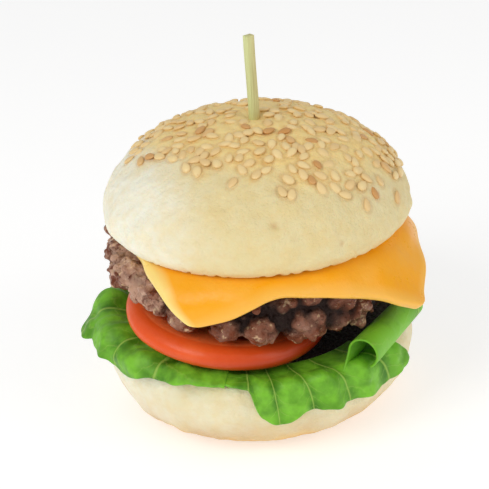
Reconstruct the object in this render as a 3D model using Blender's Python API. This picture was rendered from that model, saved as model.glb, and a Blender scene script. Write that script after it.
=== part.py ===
"""A cheeseburger in a sesame bun, pinned by a bamboo skewer.

Metres, +Z up. The origin is the middle of the burger on the surface it stands on, and its front is -Y.
From the bottom: bun heel, lettuce leaves, tomato slice, beef patty, cheese slice, bun crown with seeds.
Places round the burger are given as an angle in degrees from the front, positive to the right.
"""
import math
import random
from collections import namedtuple

import bmesh
import bpy
from mathutils import Matrix, Vector, noise

GAP = 0.0003
TINY = 1e-6

# Bun
BUN_RADIUS = 0.044
BUN_SEGMENTS = 50
BUN_UNEVENNESS = 0.0005
BUN_WAVE = 0.02
BUN_FLAT_MARGIN = 0.006
BUN_INNER_RING = 0.55
HEEL_CENTRE_X = -0.0012
HEEL_FOOT_RADIUS = 0.026
HEEL_SQUARENESS = 1.8
HEEL_WIDEST_Z = 0.0175
HEEL_TOP_Z = 0.025
HEEL_CUT_RADIUS = 0.0425
HEEL_RIGHT_BULGE = 0.0020
CROWN_CENTRE_X = 0.0006
CROWN_BOTTOM_Z = 0.0575
CROWN_CUT_RADIUS = 0.041
CROWN_EDGE_ROUNDING = 0.0012
CROWN_WIDEST_Z = 0.0625
CROWN_RISE = 0.0257
CROWN_SQUARENESS = 1.93
CROWN_WALL_START = 2.0

# Sesame seeds, on a cap of the crown that leans back and to the right
SEED_COUNT = 90
SEED_RANDOM_SEED = 7
SEED_LENGTH = 0.0037
SEED_WIDTH = 0.0024
SEED_HEIGHT = 0.0014
SEED_TAPER = 0.35
SEED_TILT_JITTER = 0.035
SEED_TURN_JITTER = 0.12
SEED_CAP_ANGLE = 65.0
SEED_CAP_LEAN_BACK = 13.0
SEED_CAP_LEAN_RIGHT = 8.0
SEED_SKEWER_CLEARANCE = 0.0045

# Beef patty
PATTY_CENTRE_X = -0.0015
PATTY_RADIUS = 0.0435
PATTY_SHOULDER = 0.005
PATTY_BOTTOM_Z = 0.0377
PATTY_BOTTOM_SLOPE = -0.12
PATTY_TOP_Z = 0.0538
PATTY_TOP_SLOPE = -0.004
PATTY_SEGMENTS = 72
PATTY_INNER_RINGS = (0.0, 0.45, 0.85)
PATTY_SMOOTH_SHARE = 0.67
CHUNK_SIZE = 0.012
CHUNK_DEPTH = 0.0023
CRUMB_SIZE = 0.0055
CRUMB_DEPTH = 0.0013
CRACK_WIDTH = 0.45
CRACK_STEEPNESS = 1.5

# Cheese slice
CHEESE_SIDE = 0.083
CHEESE_THICKNESS = 0.0026
CHEESE_CENTRE = (0.0058, -0.0042)
CHEESE_TURN = 14.0
CHEESE_CELLS = 19
CHEESE_CORNER_PULL = 0.11
CHEESE_LEFT_DROOP = 84.0
CHEESE_RIGHT_DROOP = 53.0
CHEESE_DROOP_FROM = -25.0
CHEESE_DROOP_TO = 45.0

# Tomato slice
TOMATO_RADIUS = 0.029
TOMATO_THICKNESS = 0.0074
TOMATO_CENTRE = (-0.0095, -0.0135, 0.0335)
TOMATO_ROLL = 7.4
TOMATO_PITCH = 2.0
TOMATO_SEGMENTS = 40
TOMATO_FACE_SHARE = 0.95
TOMATO_INNER_RING = 0.5
TOMATO_RIM_SHARE = 0.9
TOMATO_RIM_ANGLE = 60.0

# Skewer, a split bamboo stick
SKEWER_WIDTH = 0.0026
SKEWER_DEPTH = 0.0020
SKEWER_X = 0.0011
SKEWER_TURN = 35.0
SKEWER_TOP_Z = 0.1113
SKEWER_TIP_Z = 0.008
SKEWER_POINT = 0.007
SKEWER_TIP_SHARE = 0.25
SKEWER_HOLE_EXTRA = 0.01

# Lettuce
LEAF_THICKNESS = 0.0008
LEAF_BASE_Z = 0.02575
LEAF_BEND_RADIUS = 0.0038
LEAF_WAVE_SLANT = 2.0
Leaf = namedtuple("Leaf", "stations inner_radius waves ruffle ruffle_start phase slant")

# Leaf stations: angle, height at the rim, radius at the rim, droop in degrees, length that hangs
LEFT_LEAF = Leaf((
    (-124, 0.0290, 0.0405, 60, 0.0020),
    (-106, 0.0325, 0.0405, 50, 0.0012),
    (-90, 0.0332, 0.0418, 45, 0.0034),
    (-77, 0.0325, 0.0432, 52, 0.0085),
    (-64, 0.0300, 0.0425, 80, 0.0045),
    (-52, 0.0290, 0.0422, 86, 0.0040),
    (-38, 0.0285, 0.0425, 80, 0.0010),
    (-17, 0.0270, 0.0420, 50, 0.0005),
), inner_radius=0.024, waves=4.5, ruffle=0.0022, ruffle_start=0.5, phase=0.6, slant=0)
FRONT_LEAF = Leaf((
    (-15, 0.0266, 0.0418, 60, 0.0010),
    (-4, 0.0266, 0.0418, 84, 0.0030),
    (6, 0.0266, 0.0418, 88, 0.0088),
    (16, 0.0265, 0.0418, 88, 0.0048),
    (30, 0.0264, 0.0423, 88, 0.0055),
    (46, 0.0264, 0.0427, 88, 0.0060),
    (58, 0.0264, 0.0430, 88, 0.0052),
    (66, 0.0264, 0.0431, 84, 0.0030),
), inner_radius=0.033, waves=5.0, ruffle=0.0014, ruffle_start=0.68, phase=2.2, slant=12)
BACK_LEAF = Leaf((
    (102, 0.0290, 0.0425, 74, 0.0025),
    (122, 0.0298, 0.0425, 76, 0.0070),
    (148, 0.0322, 0.0425, 80, 0.0065),
    (176, 0.0348, 0.0425, 70, 0.0110),
    (202, 0.0370, 0.0425, 78, 0.0090),
    (220, 0.0365, 0.0425, 66, 0.0090),
    (233, 0.0310, 0.0420, 60, 0.0050),
), inner_radius=0.025, waves=6.0, ruffle=0.0024, ruffle_start=0.6, phase=0.0, slant=0)

# The rolled leaf on the right lies straight from front to back: a wall that stands up and curls over
ROLL_FRONT = (0.0276, -0.0368, 0.0306)
ROLL_BACK = (0.0442, -0.0070, 0.0302)
ROLL_RADII = (0.0042, 0.0034)
ROLL_WALL_FOOT_Z = 0.0277
ROLL_WRAP = 250.0

BUN_COLOUR = (0.90, 0.78, 0.52)
BEEF_COLOUR = (0.16, 0.06, 0.035)
CHEESE_COLOUR = (0.95, 0.46, 0.03)
TOMATO_COLOUR = (0.62, 0.07, 0.015)
LETTUCE_COLOUR = (0.14, 0.42, 0.05)
BAMBOO_COLOUR = (0.62, 0.58, 0.26)


def material(name, colour, roughness):
    """A Principled material with one colour."""
    mat = bpy.data.materials.new(name)
    mat.use_nodes = True
    shader = mat.node_tree.nodes["Principled BSDF"]
    shader.inputs["Base Color"].default_value = (*colour, 1.0)
    shader.inputs["Roughness"].default_value = roughness
    shader.inputs["Metallic"].default_value = 0.0
    return mat


def add_object(name, bm, mat, smooth_angle=50.0):
    """Put a bmesh in the scene as a named object, shaded smooth."""
    mesh = bpy.data.meshes.new(name)
    bm.to_mesh(mesh)
    bm.free()
    mesh.shade_smooth()
    mesh.set_sharp_from_angle(angle=math.radians(smooth_angle))
    if mat:
        mesh.materials.append(mat)
    obj = bpy.data.objects.new(name, mesh)
    bpy.context.scene.collection.objects.link(obj)
    return obj


def lerp(a, b, t):
    """The value between a and b at a share t."""
    return a + (b - a) * t


def ease(t):
    """Smooth step from 0 to 1."""
    t = min(1.0, max(0.0, t))
    return t * t * (3 - 2 * t)


def arc(centre_r, centre_z, radius_r, radius_z, start, end, steps, squareness=2.0):
    """Points (radius, height) along an elliptical arc, angles in degrees from straight out.

    Squareness above 2 fills the arc out towards a box, and below 2 it flattens it towards a cone.
    """
    points = []
    for i in range(steps + 1):
        a = math.radians(lerp(start, end, i / steps))
        along, up = max(0.0, math.cos(a)), abs(math.sin(a))
        along, up = along ** (2 / squareness), math.copysign(up ** (2 / squareness), math.sin(a))
        points.append((centre_r + radius_r * along, centre_z + radius_z * up))
    return points


def turned(profile, segments):
    """Spin a profile of (radius, height) points about Z. Its ends lie on the axis."""
    bm = bmesh.new()
    verts = [bm.verts.new((r, 0, z)) for r, z in profile]
    edges = [bm.edges.new(pair) for pair in zip(verts, verts[1:])]
    bmesh.ops.spin(bm, geom=verts + edges, cent=(0, 0, 0), axis=(0, 0, 1),
                   angle=math.tau, steps=segments, use_merge=True)
    bmesh.ops.remove_doubles(bm, verts=bm.verts, dist=TINY)
    bmesh.ops.recalc_face_normals(bm, faces=bm.faces)
    return bm


def around(angle, radius, z):
    """A place at an angle from the front of the burger."""
    a = math.radians(angle)
    return Vector((HEEL_CENTRE_X + radius * math.sin(a), -radius * math.cos(a), z))


def at_angle(stations, angle):
    """The values of a row of stations at an angle, eased between neighbours."""
    for low, high in zip(stations, stations[1:]):
        if angle <= high[0]:
            break
    t = ease((angle - low[0]) / (high[0] - low[0]))
    return [lerp(a, b, t) for a, b in zip(low[1:], high[1:])]


def cut_for_skewer(obj, cutter):
    """The hole that the skewer goes through."""
    cut = obj.modifiers.new("skewer_hole", "BOOLEAN")
    cut.operation = "DIFFERENCE"
    cut.object = cutter


def apply_modifiers(obj):
    bpy.context.view_layer.objects.active = obj
    for modifier in list(obj.modifiers):
        bpy.ops.object.modifier_apply(modifier=modifier.name)


def uneven(bm, base_z):
    """Push a bun's wall in and out a little, but not its flat face at base_z."""
    for v in bm.verts:
        fade = ease(abs(v.co.z - base_z) / BUN_FLAT_MARGIN)
        v.co.xy *= 1 + fade * BUN_UNEVENNESS / BUN_RADIUS * noise.noise(v.co / BUN_WAVE)


def stick(name, mat, extra, top_z, tip_z):
    """A square stick with a pointed lower end, grown by extra on every side."""
    bm = bmesh.new()
    bmesh.ops.create_cube(bm, size=1.0)
    size = (SKEWER_WIDTH + 2 * extra, SKEWER_DEPTH + 2 * extra, top_z - tip_z - SKEWER_POINT)
    bmesh.ops.scale(bm, vec=size, verts=bm.verts)
    bmesh.ops.translate(bm, vec=(0, 0, top_z - size[2] / 2), verts=bm.verts)
    bottom = min(bm.faces, key=lambda f: f.calc_center_median().z)
    tip = bmesh.ops.extrude_discrete_faces(bm, faces=[bottom])["faces"][0]
    bmesh.ops.translate(bm, vec=(0, 0, -SKEWER_POINT), verts=tip.verts)
    centre = tip.calc_center_median()
    for v in tip.verts:
        v.co.xy = centre.xy + (v.co.xy - centre.xy) * SKEWER_TIP_SHARE
    bmesh.ops.recalc_face_normals(bm, faces=bm.faces)
    obj = add_object(name, bm, mat, smooth_angle=30.0)
    obj.location = (SKEWER_X, 0, 0)
    obj.rotation_euler.z = math.radians(SKEWER_TURN)
    return obj


def skewer_cutter():
    """The shape that the skewer's hole takes out of every layer."""
    cutter = stick("skewer_cutter", None, GAP, SKEWER_TOP_Z + SKEWER_HOLE_EXTRA, SKEWER_TIP_Z - 2 * GAP)
    cutter.hide_render = True
    cutter.display_type = "WIRE"
    return cutter


def bun_heel(mat, cutter):
    """The lower half of the bun: a flat foot, a round wall and a flat cut face."""
    upper_rise = (HEEL_TOP_Z - HEEL_WIDEST_Z) / math.sqrt(1 - (HEEL_CUT_RADIUS / BUN_RADIUS) ** 2)
    cut_angle = math.degrees(math.acos(HEEL_CUT_RADIUS / BUN_RADIUS))
    profile = [(0, 0), (HEEL_FOOT_RADIUS * BUN_INNER_RING, 0)]
    profile += arc(HEEL_FOOT_RADIUS, HEEL_WIDEST_Z, BUN_RADIUS - HEEL_FOOT_RADIUS, HEEL_WIDEST_Z,
                   -90, 0, 7, HEEL_SQUARENESS)
    profile += arc(0, HEEL_WIDEST_Z, BUN_RADIUS, upper_rise, 0, cut_angle, 3)[1:]
    profile += [(HEEL_CUT_RADIUS * BUN_INNER_RING, HEEL_TOP_Z), (0, HEEL_TOP_Z)]
    bm = turned(profile, BUN_SEGMENTS)
    uneven(bm, 0.0)
    for v in bm.verts:
        v.co.x += HEEL_RIGHT_BULGE * (max(0.0, v.co.x) / BUN_RADIUS) ** 2
    heel = add_object("bun_heel", bm, mat)
    heel.location.x = HEEL_CENTRE_X
    cut_for_skewer(heel, cutter)
    return heel


def crown_surface(direction):
    """Where a direction from the middle of the crown's widest ring meets the dome."""
    k = CROWN_SQUARENESS
    across = math.hypot(direction.x, direction.y)
    reach = (across ** k + max(0.0, direction.z) ** k) ** (-1 / k)
    return Vector((direction.x * BUN_RADIUS, direction.y * BUN_RADIUS, direction.z * CROWN_RISE)) * reach


def crown_body(mat):
    """The upper half of the bun without its seeds."""
    lower_rise = (CROWN_WIDEST_Z - CROWN_BOTTOM_Z) / math.sqrt(1 - (CROWN_CUT_RADIUS / BUN_RADIUS) ** 2)
    cut_angle = math.degrees(math.acos(CROWN_CUT_RADIUS / BUN_RADIUS))
    profile = [(0, CROWN_BOTTOM_Z), (CROWN_CUT_RADIUS * BUN_INNER_RING, CROWN_BOTTOM_Z)]
    profile += [(CROWN_CUT_RADIUS - CROWN_EDGE_ROUNDING, CROWN_BOTTOM_Z)]
    profile += arc(0, CROWN_WIDEST_Z, BUN_RADIUS, lower_rise, -cut_angle + CROWN_WALL_START, 0, 3)
    profile += arc(0, CROWN_WIDEST_Z, BUN_RADIUS, CROWN_RISE, 0, 90, 11, CROWN_SQUARENESS)[1:]
    bm = turned(profile, BUN_SEGMENTS)
    uneven(bm, CROWN_BOTTOM_Z)
    crown = add_object("bun_crown", bm, mat)
    crown.location.x = CROWN_CENTRE_X
    return crown


def seed_direction(index, rng):
    """A direction from the middle of the crown, on an even spiral over the seeded cap."""
    share = (index + 0.5) / SEED_COUNT
    tilt = math.radians(SEED_CAP_ANGLE) * math.sqrt(share)
    tilt += rng.uniform(-SEED_TILT_JITTER, SEED_TILT_JITTER)
    turn = index * math.pi * (3 - math.sqrt(5))
    turn += rng.uniform(-SEED_TURN_JITTER, SEED_TURN_JITTER)
    direction = Vector((math.sin(tilt) * math.cos(turn), math.sin(tilt) * math.sin(turn), math.cos(tilt)))
    direction.rotate(Matrix.Rotation(math.radians(-SEED_CAP_LEAN_BACK), 3, "X"))
    direction.rotate(Matrix.Rotation(math.radians(SEED_CAP_LEAN_RIGHT), 3, "Y"))
    return direction


def seed(direction, rng):
    """One sesame seed lying on the crown, half sunk in it."""
    place = crown_surface(direction)
    outward = Vector((place.x / BUN_RADIUS ** 2, place.y / BUN_RADIUS ** 2, place.z / CROWN_RISE ** 2))
    lie = outward.to_track_quat("Z", "Y").to_matrix() @ Matrix.Rotation(rng.uniform(0, math.tau), 3, "Z")
    bm = bmesh.new()
    bmesh.ops.create_icosphere(bm, subdivisions=1, radius=0.5)
    bmesh.ops.scale(bm, vec=(SEED_LENGTH, SEED_WIDTH, SEED_HEIGHT), verts=bm.verts)
    for v in bm.verts:
        v.co.y *= 1 - SEED_TAPER * v.co.x / (SEED_LENGTH / 2)
    bmesh.ops.rotate(bm, cent=(0, 0, 0), matrix=lie, verts=bm.verts)
    place += Vector((CROWN_CENTRE_X, 0, CROWN_WIDEST_Z))
    bmesh.ops.translate(bm, vec=place, verts=bm.verts)
    return add_object("seed", bm, None), place


def bun_crown(mat, cutter):
    """The crown with its skewer hole and its seeds, joined into one solid."""
    crown = crown_body(mat)
    cut_for_skewer(crown, cutter)
    rng = random.Random(SEED_RANDOM_SEED)
    seeds = bpy.data.collections.new("seeds")
    bpy.context.scene.collection.children.link(seeds)
    for index in range(SEED_COUNT):
        piece, place = seed(seed_direction(index, rng), rng)
        bpy.context.scene.collection.objects.unlink(piece)
        if (place.xy - Vector((SKEWER_X, 0))).length < SEED_SKEWER_CLEARANCE:
            bpy.data.objects.remove(piece)
        else:
            seeds.objects.link(piece)
    join = crown.modifiers.new("seeds", "BOOLEAN")
    join.operation = "UNION"
    join.operand_type = "COLLECTION"
    join.collection = seeds
    apply_modifiers(crown)
    for piece in list(seeds.objects):
        bpy.data.objects.remove(piece)
    bpy.data.collections.remove(seeds)
    return crown


def lump_depth(place, size, depth):
    """How far the surface falls in between lumps of a given size."""
    near, second = noise.voronoi(place / size)[0][:2]
    return depth * (1 - min(1.0, (second - near) / CRACK_WIDTH)) ** CRACK_STEEPNESS


def patty_layer_z(x, share):
    """Height between the patty's bottom and top at x, share 0 to 1."""
    bottom = PATTY_BOTTOM_Z + PATTY_BOTTOM_SLOPE * x
    top = PATTY_TOP_Z + PATTY_TOP_SLOPE * x
    return lerp(bottom, top, share)


def beef_patty(mat, cutter):
    """A thick hand-formed patty whose wall is broken into chunks of mince."""
    height = PATTY_TOP_Z - PATTY_BOTTOM_Z
    flat = PATTY_RADIUS - PATTY_SHOULDER
    inner = [flat * share for share in PATTY_INNER_RINGS]
    profile = [(r, 0) for r in inner]
    profile += arc(flat, PATTY_SHOULDER, PATTY_SHOULDER, PATTY_SHOULDER, -90, 0, 4)
    profile += [(PATTY_RADIUS, height / 2)]
    profile += arc(flat, height - PATTY_SHOULDER, PATTY_SHOULDER, PATTY_SHOULDER, 0, 90, 4)
    profile += [(r, height) for r in reversed(inner)]
    bm = turned(profile, PATTY_SEGMENTS)
    bm.normal_update()
    for v in bm.verts:
        depth = lump_depth(v.co, CHUNK_SIZE, CHUNK_DEPTH) + lump_depth(v.co, CRUMB_SIZE, CRUMB_DEPTH)
        roughness = ease((v.co.xy.length / flat - PATTY_SMOOTH_SHARE) / (1 - PATTY_SMOOTH_SHARE))
        v.co -= v.normal * depth * roughness
        v.co.x += PATTY_CENTRE_X
        v.co.z = patty_layer_z(v.co.x, v.co.z / height)
    patty = add_object("beef_patty", bm, mat, smooth_angle=60.0)
    cut_for_skewer(patty, cutter)
    return patty


def cheese_droop(angle):
    """How steeply the cheese hangs over the patty's rim at an angle from the front."""
    share = ease((angle - CHEESE_DROOP_FROM) / (CHEESE_DROOP_TO - CHEESE_DROOP_FROM))
    return lerp(CHEESE_LEFT_DROOP, CHEESE_RIGHT_DROOP, share)


def drape_on_patty(place):
    """Where a point of the flat slice comes to lie on the patty and over its rim."""
    across = Vector((place.x - PATTY_CENTRE_X, place.y))
    distance = across.length
    flat = PATTY_RADIUS - PATTY_SHOULDER
    bend = PATTY_SHOULDER + 2 * GAP + CHEESE_THICKNESS / 2
    radius, drop = distance, 0.0
    if distance > flat:
        angle = math.degrees(math.atan2(across.x, -across.y))
        limit = math.radians(cheese_droop(angle))
        turn = min((distance - flat) / bend, limit)
        rest = distance - flat - turn * bend
        radius = flat + bend * math.sin(turn) + rest * math.cos(turn)
        drop = bend * (1 - math.cos(turn)) + rest * math.sin(turn)
    x = PATTY_CENTRE_X + across.x * radius / max(distance, TINY)
    y = across.y * radius / max(distance, TINY)
    z = patty_layer_z(x, 1.0) + 2 * GAP + CHEESE_THICKNESS / 2 - drop
    return Vector((x, y, z))


def cheese_slice(mat, cutter):
    """A soft square slice that follows the patty's top and hangs over its rim."""
    bm = bmesh.new()
    bmesh.ops.create_grid(bm, x_segments=CHEESE_CELLS, y_segments=CHEESE_CELLS, size=1.0)
    turn = Matrix.Rotation(math.radians(CHEESE_TURN), 2)
    for v in bm.verts:
        pull = 1 - CHEESE_CORNER_PULL * (v.co.x * v.co.y) ** 2
        flat_place = turn @ (v.co.xy * pull * CHEESE_SIDE / 2) + Vector(CHEESE_CENTRE)
        v.co = drape_on_patty(flat_place)
    bmesh.ops.triangulate(bm, faces=bm.faces)
    bmesh.ops.recalc_face_normals(bm, faces=bm.faces)
    cheese = add_object("cheese_slice", bm, mat)
    thick = cheese.modifiers.new("thickness", "SOLIDIFY")
    thick.thickness = CHEESE_THICKNESS
    thick.offset = 0.0
    cut_for_skewer(cheese, cutter)
    return cheese


def tomato_slice(mat, cutter):
    """A slice with flat faces and a rim of skin that bulges a little."""
    half = TOMATO_THICKNESS / 2
    face = TOMATO_RADIUS * TOMATO_FACE_SHARE
    profile = [(0, -half), (face * TOMATO_INNER_RING, -half), (face, -half)]
    profile += arc(face, 0, TOMATO_RADIUS - face, half * TOMATO_RIM_SHARE,
                   -TOMATO_RIM_ANGLE, TOMATO_RIM_ANGLE, 4)
    profile += [(face, half), (face * TOMATO_INNER_RING, half), (0, half)]
    bm = turned(profile, TOMATO_SEGMENTS)
    tomato = add_object("tomato_slice", bm, mat)
    tomato.location = TOMATO_CENTRE
    tomato.rotation_euler = (math.radians(TOMATO_PITCH), math.radians(TOMATO_ROLL), 0)
    cut_for_skewer(tomato, cutter)
    return tomato


def leaf_place(leaf, u, v):
    """A point of a leaf that lies on the heel and hangs over its rim."""
    first, last = leaf.stations[0][0], leaf.stations[-1][0]
    angle = lerp(first, last - leaf.slant * (1 - ease(v)), u)
    lift, rim, droop, hang = at_angle(leaf.stations, angle)
    droop = math.radians(droop)
    inner = rim - leaf.inner_radius
    s = v * (inner + LEAF_BEND_RADIUS * droop + hang)
    turn = min(max(0.0, s - inner) / LEAF_BEND_RADIUS, droop)
    rest = max(0.0, s - inner - LEAF_BEND_RADIUS * droop)
    radius = leaf.inner_radius + min(s, inner) + LEAF_BEND_RADIUS * math.sin(turn) + rest * math.cos(turn)
    z = lerp(LEAF_BASE_Z, lift, ease(s / inner))
    z -= LEAF_BEND_RADIUS * (1 - math.cos(turn)) + rest * math.sin(turn)
    wave = 0.5 + 0.5 * math.sin(math.tau * leaf.waves * u + leaf.phase + LEAF_WAVE_SLANT * v)
    push = leaf.ruffle * wave * ease((v - leaf.ruffle_start) / (1 - leaf.ruffle_start))
    return around(angle, radius + push * math.sin(turn), z + push * math.cos(turn))


def roll_place(u, v):
    """A point of the rolled leaf: up its inner wall, over the top, down outside and under."""
    front, back = Vector(ROLL_FRONT), Vector(ROLL_BACK)
    middle, radius = front.lerp(back, u), lerp(*ROLL_RADII, u)
    outward = (back - front).cross(Vector((0, 0, 1))).normalized()
    wall = middle.z - ROLL_WALL_FOOT_Z
    s = v * (wall + radius * math.radians(ROLL_WRAP))
    if s < wall:
        return middle - outward * radius + Vector((0, 0, s - wall))
    turn = (s - wall) / radius
    return middle - outward * radius * math.cos(turn) + Vector((0, 0, radius * math.sin(turn)))


def leaf_object(name, mat, columns, rows, place):
    """A thin wavy leaf made by moving the points of a grid, then given its thickness."""
    bm = bmesh.new()
    bmesh.ops.create_grid(bm, x_segments=columns, y_segments=rows, size=0.5)
    for v in bm.verts:
        v.co = place(v.co.x + 0.5, v.co.y + 0.5)
    bmesh.ops.triangulate(bm, faces=bm.faces)
    bmesh.ops.recalc_face_normals(bm, faces=bm.faces)
    leaf = add_object(name, bm, mat, smooth_angle=80.0)
    thick = leaf.modifiers.new("thickness", "SOLIDIFY")
    thick.thickness = LEAF_THICKNESS
    thick.offset = 0.0
    return leaf


def lettuce(mat):
    """Three leaves that lie round the heel, and a rolled one on the right."""
    leaf_object("lettuce_left", mat, 25, 11, lambda u, v: leaf_place(LEFT_LEAF, u, v))
    leaf_object("lettuce_front", mat, 24, 10, lambda u, v: leaf_place(FRONT_LEAF, u, v))
    leaf_object("lettuce_back", mat, 28, 10, lambda u, v: leaf_place(BACK_LEAF, u, v))
    leaf_object("lettuce_roll", mat, 14, 17, roll_place)


def build():
    for obj in list(bpy.data.objects):
        bpy.data.objects.remove(obj)
    bun = material("bun", BUN_COLOUR, 0.7)
    bamboo = material("bamboo", BAMBOO_COLOUR, 0.6)
    cutter = skewer_cutter()
    stick("skewer", bamboo, 0.0, SKEWER_TOP_Z, SKEWER_TIP_Z)
    bun_heel(bun, cutter)
    lettuce(material("lettuce", LETTUCE_COLOUR, 0.4))
    tomato_slice(material("tomato", TOMATO_COLOUR, 0.25), cutter)
    beef_patty(material("beef", BEEF_COLOUR, 0.45), cutter)
    cheese_slice(material("cheese", CHEESE_COLOUR, 0.35), cutter)
    bun_crown(bun, cutter)


build()
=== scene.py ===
"""Looks of a cheeseburger in a sesame bun, pinned by a bamboo skewer.

Metres, +Z up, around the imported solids. From the bottom: bun heel, lettuce, tomato, patty, cheese, crown.
Places round the burger are given as an angle in degrees from its front, -Y, positive to the right.
"""
import math
import random
from collections import namedtuple
from functools import partial

import bmesh
import bpy
import numpy as np
from bpy.props import FloatProperty, FloatVectorProperty, IntProperty, PointerProperty
from mathutils import Matrix, Vector, noise
from mathutils.kdtree import KDTree


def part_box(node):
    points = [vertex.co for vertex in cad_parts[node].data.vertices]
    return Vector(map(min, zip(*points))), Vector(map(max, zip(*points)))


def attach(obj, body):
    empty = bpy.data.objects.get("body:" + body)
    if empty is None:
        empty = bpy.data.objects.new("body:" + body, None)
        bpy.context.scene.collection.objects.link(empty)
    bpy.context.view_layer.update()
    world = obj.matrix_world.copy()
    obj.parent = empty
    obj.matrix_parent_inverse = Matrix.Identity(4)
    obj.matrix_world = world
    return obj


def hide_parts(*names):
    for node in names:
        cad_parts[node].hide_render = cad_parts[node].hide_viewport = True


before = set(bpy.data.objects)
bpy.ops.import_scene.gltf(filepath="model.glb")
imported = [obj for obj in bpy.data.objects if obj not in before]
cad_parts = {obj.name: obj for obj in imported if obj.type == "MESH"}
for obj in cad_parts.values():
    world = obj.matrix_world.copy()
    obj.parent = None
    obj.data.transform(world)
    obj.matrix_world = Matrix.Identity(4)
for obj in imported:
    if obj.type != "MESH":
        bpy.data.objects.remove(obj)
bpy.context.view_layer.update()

bl_info = {
    "name": "Cheeseburger with sesame bun",
    "version": (1, 0, 0),
    "blender": (4, 5, 0),
    "location": "3D View > Sidebar > Burger",
    "description": "Builds a cheeseburger piece by piece around its solids, with its studio",
    "category": "Object",
}

HEEL_LOW, HEEL_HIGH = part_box("bun_heel")
CROWN_LOW, CROWN_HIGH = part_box("bun_crown")
TOMATO_LOW, TOMATO_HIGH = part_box("tomato_slice")
SKEWER_LOW, SKEWER_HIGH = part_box("skewer")

MM = 0.001
TINY = 1e-6
CLEARANCE = 0.3 * MM


def in_mm(rows, *columns):
    """Rows of numbers with the given columns, which are written in millimetres, turned to metres."""
    return tuple(tuple(value * MM if i in columns else value for i, value in enumerate(row))
                 for row in rows)


# Bun
HEEL_X = -1.2 * MM
HEEL_FOOT = 26 * MM
HEEL_SQUARENESS = 1.8
HEEL_WIDEST_Z = 17.5 * MM
HEEL_TOP_Z = HEEL_HIGH.z
HEEL_CUT = 42.5 * MM
CROWN_X = 0.6 * MM
CROWN_BOTTOM_Z = CROWN_LOW.z
CROWN_WIDEST_Z = CROWN_BOTTOM_Z + 5 * MM
CROWN_CUT = 41 * MM
CROWN_EDGE = 1.2 * MM
CROWN_SQUARENESS = 1.93
CROWN_SEGMENTS = 480
HEEL_SEGMENTS = 320
HEEL_RIGHT_BULGE = 2.0 * MM
BUN_WAVE = 20 * MM
BUN_UNEVENNESS = 0.5 * MM
BUN_DENTS = in_mm(((11, 0.55), (4.6, 0.42), (1.9, 0.12)), 0, 1)
BUN_CREASE = 4.2 * MM
BUN_CREASE_DEPTH = 0.8 * MM
BUN_MARGIN = 6 * MM
VOID_SHADE_REACH = 41.5 * MM
RAGGED_BAND = 1.6 * MM
RAGGED_IN = 2.0 * MM
RAGGED_UP = 1.0 * MM
SKEWER_DENT = 1.7 * MM
SKEWER_DENT_RADIUS = 3 * MM

# Seeds, on a cap of the crown that leans back and to the right
SEED_CAP = 64.0
SEED_CAP_BACK = 16.0
SEED_CAP_RIGHT = 11.0
SEED_SPACING = 2.35 * MM
SEED_SKEWER_SPACING = 3.6 * MM
SEED_TRIES = 9000
Seed = namedtuple("Seed", "place lie size roast")

# Seeds placed at the front of the cap: x, y, turn in degrees, how toasted
SEEDS_BY_EYE = in_mm((
    (4.9, -10.6, 15, 0.85), (9.0, -10.8, 170, 0.95), (-28.2, -9.3, 30, 0.8), (-31.0, -8.2, 160, 0.55),
    (32.6, -23.7, 75, 0.9), (39.2, -17.8, 60, 0.45), (-2.9, -26.3, 120, 0.1), (1.0, -28.3, 60, 0.2),
    (7.4, -33.0, 100, 0.2), (9.9, -33.4, 65, 0.1), (13.2, -27.4, 95, 0.15), (17.8, -26.6, 130, 0.2),
    (21.6, -28.7, 110, 0.1), (25.8, -26.0, 20, 0.3), (30.1, -28.3, 70, 0.3), (-12.8, -21.5, 160, 0.3),
    (24.2, -29.4, 150, 0.15), (-34.4, -2.9, 70, 0.3),
), 0, 1)

# Patty
PATTY_X = -1.5 * MM
PATTY_SHOULDER = 5 * MM
PATTY_BOTTOM_Z = 37.7 * MM
PATTY_BOTTOM_SLOPE = -0.12
PATTY_TOP_Z = 53.8 * MM
PATTY_TOP_SLOPE = -0.004
CHUNK_SIZE = 12 * MM
CHUNK_DEPTH = 3.2 * MM
CRACK_WIDTH = 0.45
CRUMB_COUNT = 2500
LUMP_CRUMBS = 64
MOAT_REACH = 43.5 * MM
MOAT_DEPTH = 2.6 * MM
CRUMB_BATCH = 50
CRUMB_SIZES = (0.9 * MM, 2.6 * MM)
MINCE_VOXEL = 0.5 * MM
MINCE_GRAIN = in_mm(((1.3, 0.3), (0.6, 0.12)), 0, 1)
CRACK_SHADE_DEPTH = 4.6 * MM

# Chunks that stand out at the front: angle, height above the upright patty's foot, radius
PATTY_LUMPS = in_mm((
    (-62, 10.0, 6.5), (-43, 9.5, 6.8), (-30, 3.6, 4.8), (-12, 3.8, 5.2), (2, 3.8, 5.2),
    (20.5, 4.6, 7.0), (47, 5.2, 5.6), (66, 8.0, 6.0), (95, 7.0, 6.2), (124, 9.0, 6.0), (152, 7.0, 6.5),
    (180, 9.0, 6.0), (-92, 7.0, 6.2), (-120, 9.0, 6.2), (-150, 7.0, 6.0),
), 1, 2)

# Cheese
CHEESE_CENTRE = Vector((5.8 * MM, -4.2 * MM))
CHEESE_TURN = 14.0
CHEESE_CORNER_PULLS = ((0.06, 2), (0.05, 12))
CHEESE_WAVE = 9 * MM
CHEESE_WAVE_DEPTH = 0.7 * MM
CHEESE_FRONT_WAVES = in_mm(((-0.62, 0.16, 1.0), (-0.22, 0.2, -1.7), (0.35, 0.2, -0.6)), 2)
CHEESE_DROOPS = (84.0, 53.0)
CHEESE_DROOP_SPAN = (-25.0, 45.0)
CHEESE_CELLS = 52

# Tomato
TOMATO_CENTRE = (TOMATO_LOW + TOMATO_HIGH) / 2
TOMATO_TILT = (2.0, 7.4)
TOMATO_FACE_SHARE = 0.82

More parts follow.
